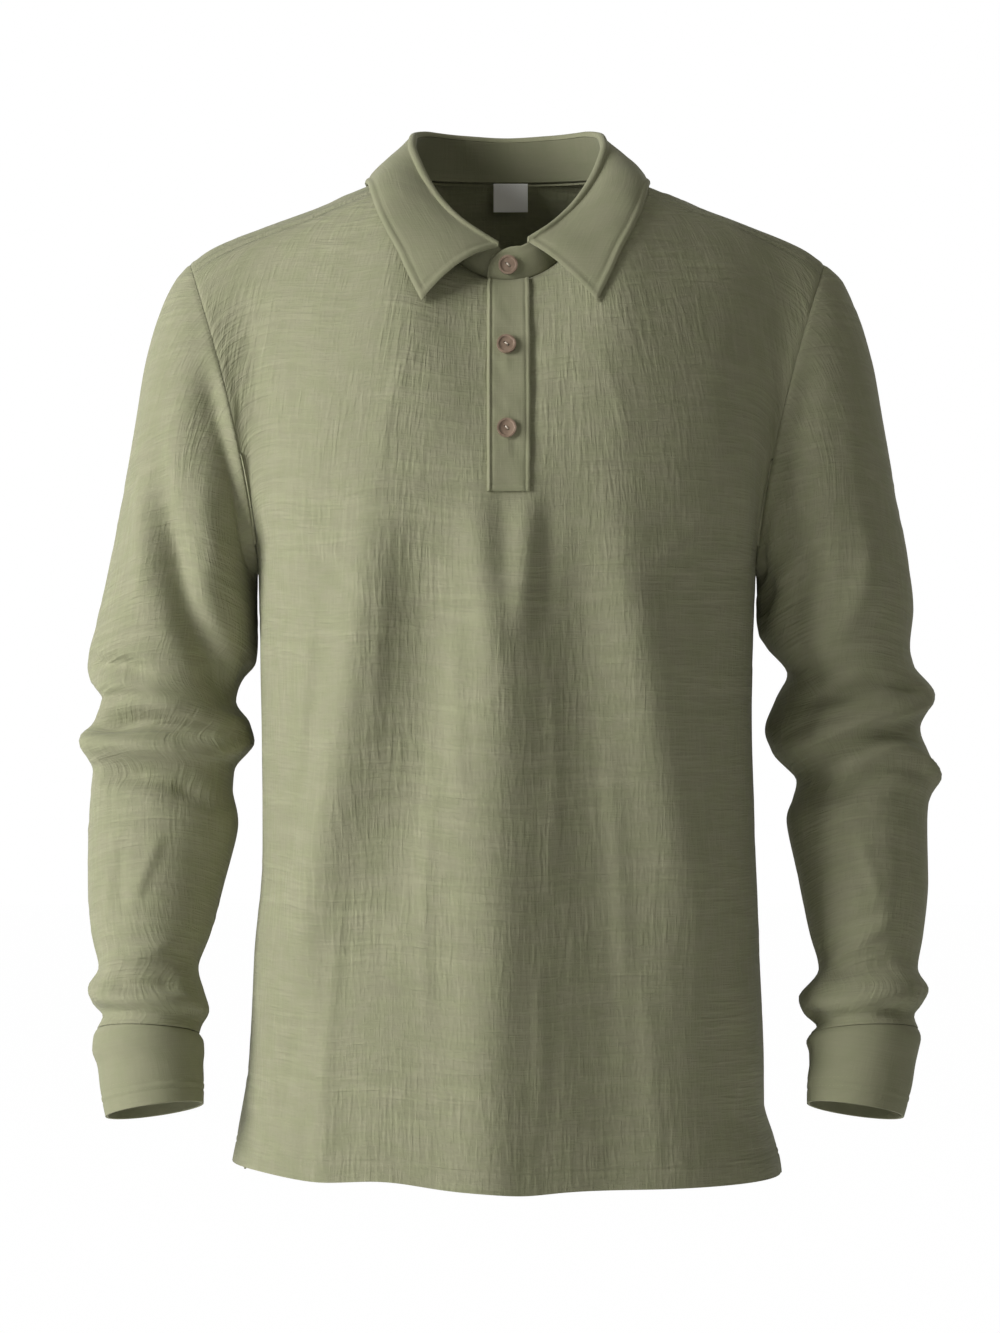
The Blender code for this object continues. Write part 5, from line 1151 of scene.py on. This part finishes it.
def buttonMaterial():
    material = bpy.data.materials.new("brown corozo")
    material.use_nodes = True
    tree = material.node_tree
    shader = tree.nodes["Principled BSDF"]
    place = addNode(tree, "ShaderNodeTexCoord").outputs["Object"]
    grain = stretchedNoise(tree, place, 260, 900, 1.0, 4.0)
    cloud = stretchedNoise(tree, place, 150, 120, 5.0, 2.0)
    both = math2(tree, "ADD", scaled(tree, grain, 0.6), scaled(tree, cloud, 0.4))
    colour = addNode(tree, "ShaderNodeMix", {0: remap(tree, both, 0.35, 0.65), 6: button["dark"],
                                             7: button["light"]}, data_type="RGBA").outputs[2]
    tree.links.new(colour, shader.inputs["Base Color"])
    relief = addNode(tree, "ShaderNodeBump", {"Height": grain, "Strength": 0.2, "Distance": 0.0001})
    tree.links.new(relief.outputs["Normal"], shader.inputs["Normal"])
    shader.inputs["Roughness"].default_value = button["roughness"]
    return material


buttonFinish = buttonMaterial()


def makeButton(name, node):
    # A disc is inset for its rim, dished, drilled twice, and its rim rounded.
    lo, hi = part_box(node)
    x, z = (lo[0] + hi[0]) / 2, (lo[2] + hi[2]) / 2
    tree = surfaceTree(standGrid if node == "button_neck" else bandPoints)
    above, below = [chestDepth(tree, x / mm, z / mm + up) for up in (button["leanOver"], -button["leanOver"])]
    lean = math.atan((above - below) / (2 * button["leanOver"]))
    deselectAll()
    bpy.ops.mesh.primitive_cylinder_add(vertices=button["sides"], radius=button["radius"] * mm,
                                        depth=button["thick"] * mm, location=(0, 0, 0))
    disc = bpy.context.object
    disc.name = disc.data.name = name
    deselectParts(disc.data)
    for face in disc.data.polygons:
        face.select = face.normal.z > 0.9
    bpy.ops.object.mode_set(mode="EDIT")
    bpy.ops.mesh.select_mode(type="FACE")
    bpy.ops.mesh.inset(thickness=button["rim"] * mm)
    bpy.ops.mesh.inset(thickness=button["slope"] * mm, depth=-button["dish"] * mm)
    bpy.ops.mesh.inset(thickness=button["floorIn"] * mm, depth=-button["floorDrop"] * mm)
    bpy.ops.object.mode_set(mode="OBJECT")
    for way in (-1, 1):  # the two holes lie on a slant
        deselectAll()
        bpy.ops.mesh.primitive_cylinder_add(vertices=button["holeSides"], radius=button["hole"] * mm,
                                            depth=0.02, location=(way * button["holeAt"] * 0.7 * mm,
                                                                  way * -button["holeAt"] * 0.7 * mm, 0))
        drill = bpy.context.object
        pickOnly(disc)
        cut = disc.modifiers.new("hole", "BOOLEAN")
        cut.object = drill
        cut.solver = "EXACT"
        bpy.ops.object.modifier_apply(modifier=cut.name)
        bpy.data.objects.remove(drill)
    soft = disc.modifiers.new("soft rim", "BEVEL")
    soft.width, soft.segments, soft.limit_method = button["softRim"] * mm, button["softSegments"], "ANGLE"
    soft.angle_limit = math.radians(button["softAngle"])
    bpy.ops.object.modifier_apply(modifier=soft.name)
    # the thread: a few strands from hole to hole
    deselectAll()
    curve = bpy.data.curves.new(f"{name}_thread", "CURVE")
    curve.dimensions = "3D"
    curve.bevel_depth = button["strand"] * mm
    curve.bevel_resolution = 2
    curve.use_fill_caps = True
    for k, off in enumerate(button["strands"]):
        spline = curve.splines.new("POLY")
        spline.points.add(button["strandPoints"] - 1)
        for point, t in zip(spline.points, np.linspace(-1, 1, button["strandPoints"])):
            across = t * button["holeAt"] * 0.98
            high = button["thick"] / 2 - button["dish"] - button["strandSink"]
            high = high + button["strandRise"] * (1 - t * t) - button["strandDive"] * t ** 6
            high = high + button["strandSink"] * (k % 2)
            point.co = ((across * 0.7 + off * 0.7) * mm, (-across * 0.7 + off * 0.7) * mm, high * mm, 1)
    thread = bpy.data.objects.new(f"{name}_thread", curve)
    bpy.context.scene.collection.objects.link(thread)
    pickOnly(thread)
    bpy.ops.object.convert(target="MESH")
    thread = bpy.context.object
    lay = button["lay"] + button["thick"] / 2
    depth = chestDepth(tree, x / mm, z / mm) * mm - lay * mm / math.cos(lean)
    for piece, finish in ((disc, buttonFinish), (thread, buttonThread)):
        piece.rotation_euler = (math.radians(90) - lean, 0, 0)
        piece.location = (x, depth, z)
        pickOnly(piece)
        bpy.ops.object.transform_apply(location=True, rotation=True, scale=True)
        bpy.ops.object.shade_smooth_by_angle(angle=math.radians(button["smoothAngle"]))
        piece.data.materials.clear()
        piece.data.materials.append(finish)
    declare(disc, "button", node)
    declare(thread, "button")


buttonThread = clothMaterial("button thread", dict(threadLook, cool=(0.66, 0.60, 0.50),
                                                   warm=(0.70, 0.63, 0.52)))
for node in ("button_neck", "button_middle", "button_lower"):
    makeButton(f"{node}_turned", node)
print("buttons made")


# the neck label: a bare woven tab, hung from the back neck seam
tab = {"in": 0.2, "columns": 27, "rows": 24, "off": 0.45, "bow": 0.35, "width": 26, "footOut": 0.6,
       "footSoft": 5, "cloth": 0.6, "edge": 0.12}
lo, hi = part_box("neck_label")
labelAcross = np.linspace(lo[0] / mm + tab["in"], hi[0] / mm - tab["in"], tab["columns"])
labelUp = np.linspace(lo[2] / mm + tab["in"], hi[2] / mm - tab["in"], tab["rows"])
labelGrid = np.array([[[x, lo[1] / mm + tab["off"]
                        + tab["bow"] * math.sin((x - labelAcross[0]) / tab["width"] * math.pi)
                        - tab["footOut"] * bump(z - labelUp[0], tab["footSoft"]), z]
                       for x in labelAcross] for z in labelUp])
label = clothSheet("neck_label_tab", labelGrid, clothPlaces(labelGrid, tab["columns"] // 2), tab["cloth"],
                   labelCloth, edge=tab["edge"])
declare(label, "label", "neck_label")
labelOut = gridNormals(labelGrid)
stitchRow("neck_label_stitches", labelGrid[-3, 1:-1], labelOut[-3, 1:-1], "label", pitch=2.2, length=1.6,
          thick=0.3)
print("label made")


# the floor and the light: a wide pale floor, a large soft light from the viewer's left, weaker ones
# from the right, in front and above, and two from behind
studio = {
    "floor": -1.02, "floorRadius": 9.0, "floorColour": (0.86, 0.86, 0.85, 1), "floorSeen": 0.995,
    "camera": (-0.0052, -3.2, -0.353), "lens": 116.6, "around": 0.05, "aroundColour": (1, 0.97, 0.90, 1),
    "lights": {  # place, what it faces, size, power, colour
        "key": ((-2.72, -1.27, 0.6), (0, 0, -0.33), (1.5, 1.7), 110.0, (1, 1, 1)),
        "right": ((2.0, -0.1, 2.0), (0, 0, -0.33), (1.5, 1.5), 9.0, (1, 0.98, 0.92)),
        "fill": ((1.2, -3.1, 0.5), (0, 0, -0.35), (1.8, 1.8), 6.0, (1, 0.97, 0.88)),
        "top": ((0.1, -0.3, 2.3), (0, 0, -0.2), (1.6, 1.2), 5.0, (1, 0.98, 0.94)),
        "behind left": ((-1.9, 2.9, 1.1), (0, 0, -0.35), (2.0, 2.0), 35.2, (1, 1, 1)),
        "behind right": ((1.7, 3.0, 0.8), (0, 0, -0.35), (2.0, 2.0), 22.0, (1, 1, 1)),
    },
}
deselectAll()
bpy.ops.mesh.primitive_circle_add(vertices=96, radius=studio["floorRadius"], fill_type="NGON",
                                  location=(0, 0, studio["floor"]))
floor = bpy.context.object
floor.name = "studio_floor"
floorFinish = bpy.data.materials.new("pale floor")
floorFinish.use_nodes = True
floorTree = floorFinish.node_tree
floorShader = floorTree.nodes["Principled BSDF"]
floorShader.inputs["Base Color"].default_value = studio["floorColour"]
floorShader.inputs["Roughness"].default_value = 0.9
bright = addNode(floorTree, "ShaderNodeEmission", {"Color": (1, 1, 1, 1), "Strength": 1.0})
seen = addNode(floorTree, "ShaderNodeLightPath").outputs["Is Camera Ray"]
blend = addNode(floorTree, "ShaderNodeMixShader", {0: scaled(floorTree, seen, studio["floorSeen"])})
floorTree.links.new(floorShader.outputs[0], blend.inputs[1])
floorTree.links.new(bright.outputs[0], blend.inputs[2])
floorTree.links.new(blend.outputs[0], floorTree.nodes["Material Output"].inputs["Surface"])
floor.data.materials.append(floorFinish)

world = bpy.context.scene.world or bpy.data.worlds.new("studio")
bpy.context.scene.world = world
world.use_nodes = True
worldTree = world.node_tree
background = next(n for n in worldTree.nodes if n.type == "BACKGROUND")
seen = addNode(worldTree, "ShaderNodeLightPath").outputs["Is Camera Ray"]
tint = addNode(worldTree, "ShaderNodeMix", {0: seen, 6: studio["aroundColour"], 7: (1, 1, 1, 1)},
               data_type="RGBA")
worldTree.links.new(tint.outputs[2], background.inputs["Color"])
strength = addNode(worldTree, "ShaderNodeMapRange", {"Value": seen, "To Min": studio["around"],
                                                     "To Max": 1.0})
worldTree.links.new(strength.outputs["Result"], background.inputs["Strength"])
for name, (place, target, size, power, colour) in studio["lights"].items():
    light = bpy.data.lights.new(name, "AREA")
    light.shape = "RECTANGLE"
    light.size, light.size_y = size
    light.energy = power
    light.color = colour
    holder = bpy.data.objects.new(name, light)
    bpy.context.scene.collection.objects.link(holder)
    holder.location = place
    holder.rotation_euler = (Vector(target) - Vector(place)).to_track_quat("-Z", "Y").to_euler()
camera = bpy.data.cameras.new("camera")
camera.sensor_width = 36
camera.lens = studio["lens"]
cameraHolder = bpy.data.objects.new("camera", camera)
bpy.context.scene.collection.objects.link(cameraHolder)
cameraHolder.location = studio["camera"]
cameraHolder.rotation_euler = (math.radians(90), 0, 0)
bpy.context.scene.camera = cameraHolder
bpy.context.scene.view_settings.view_transform = "Standard"
print("studio made")
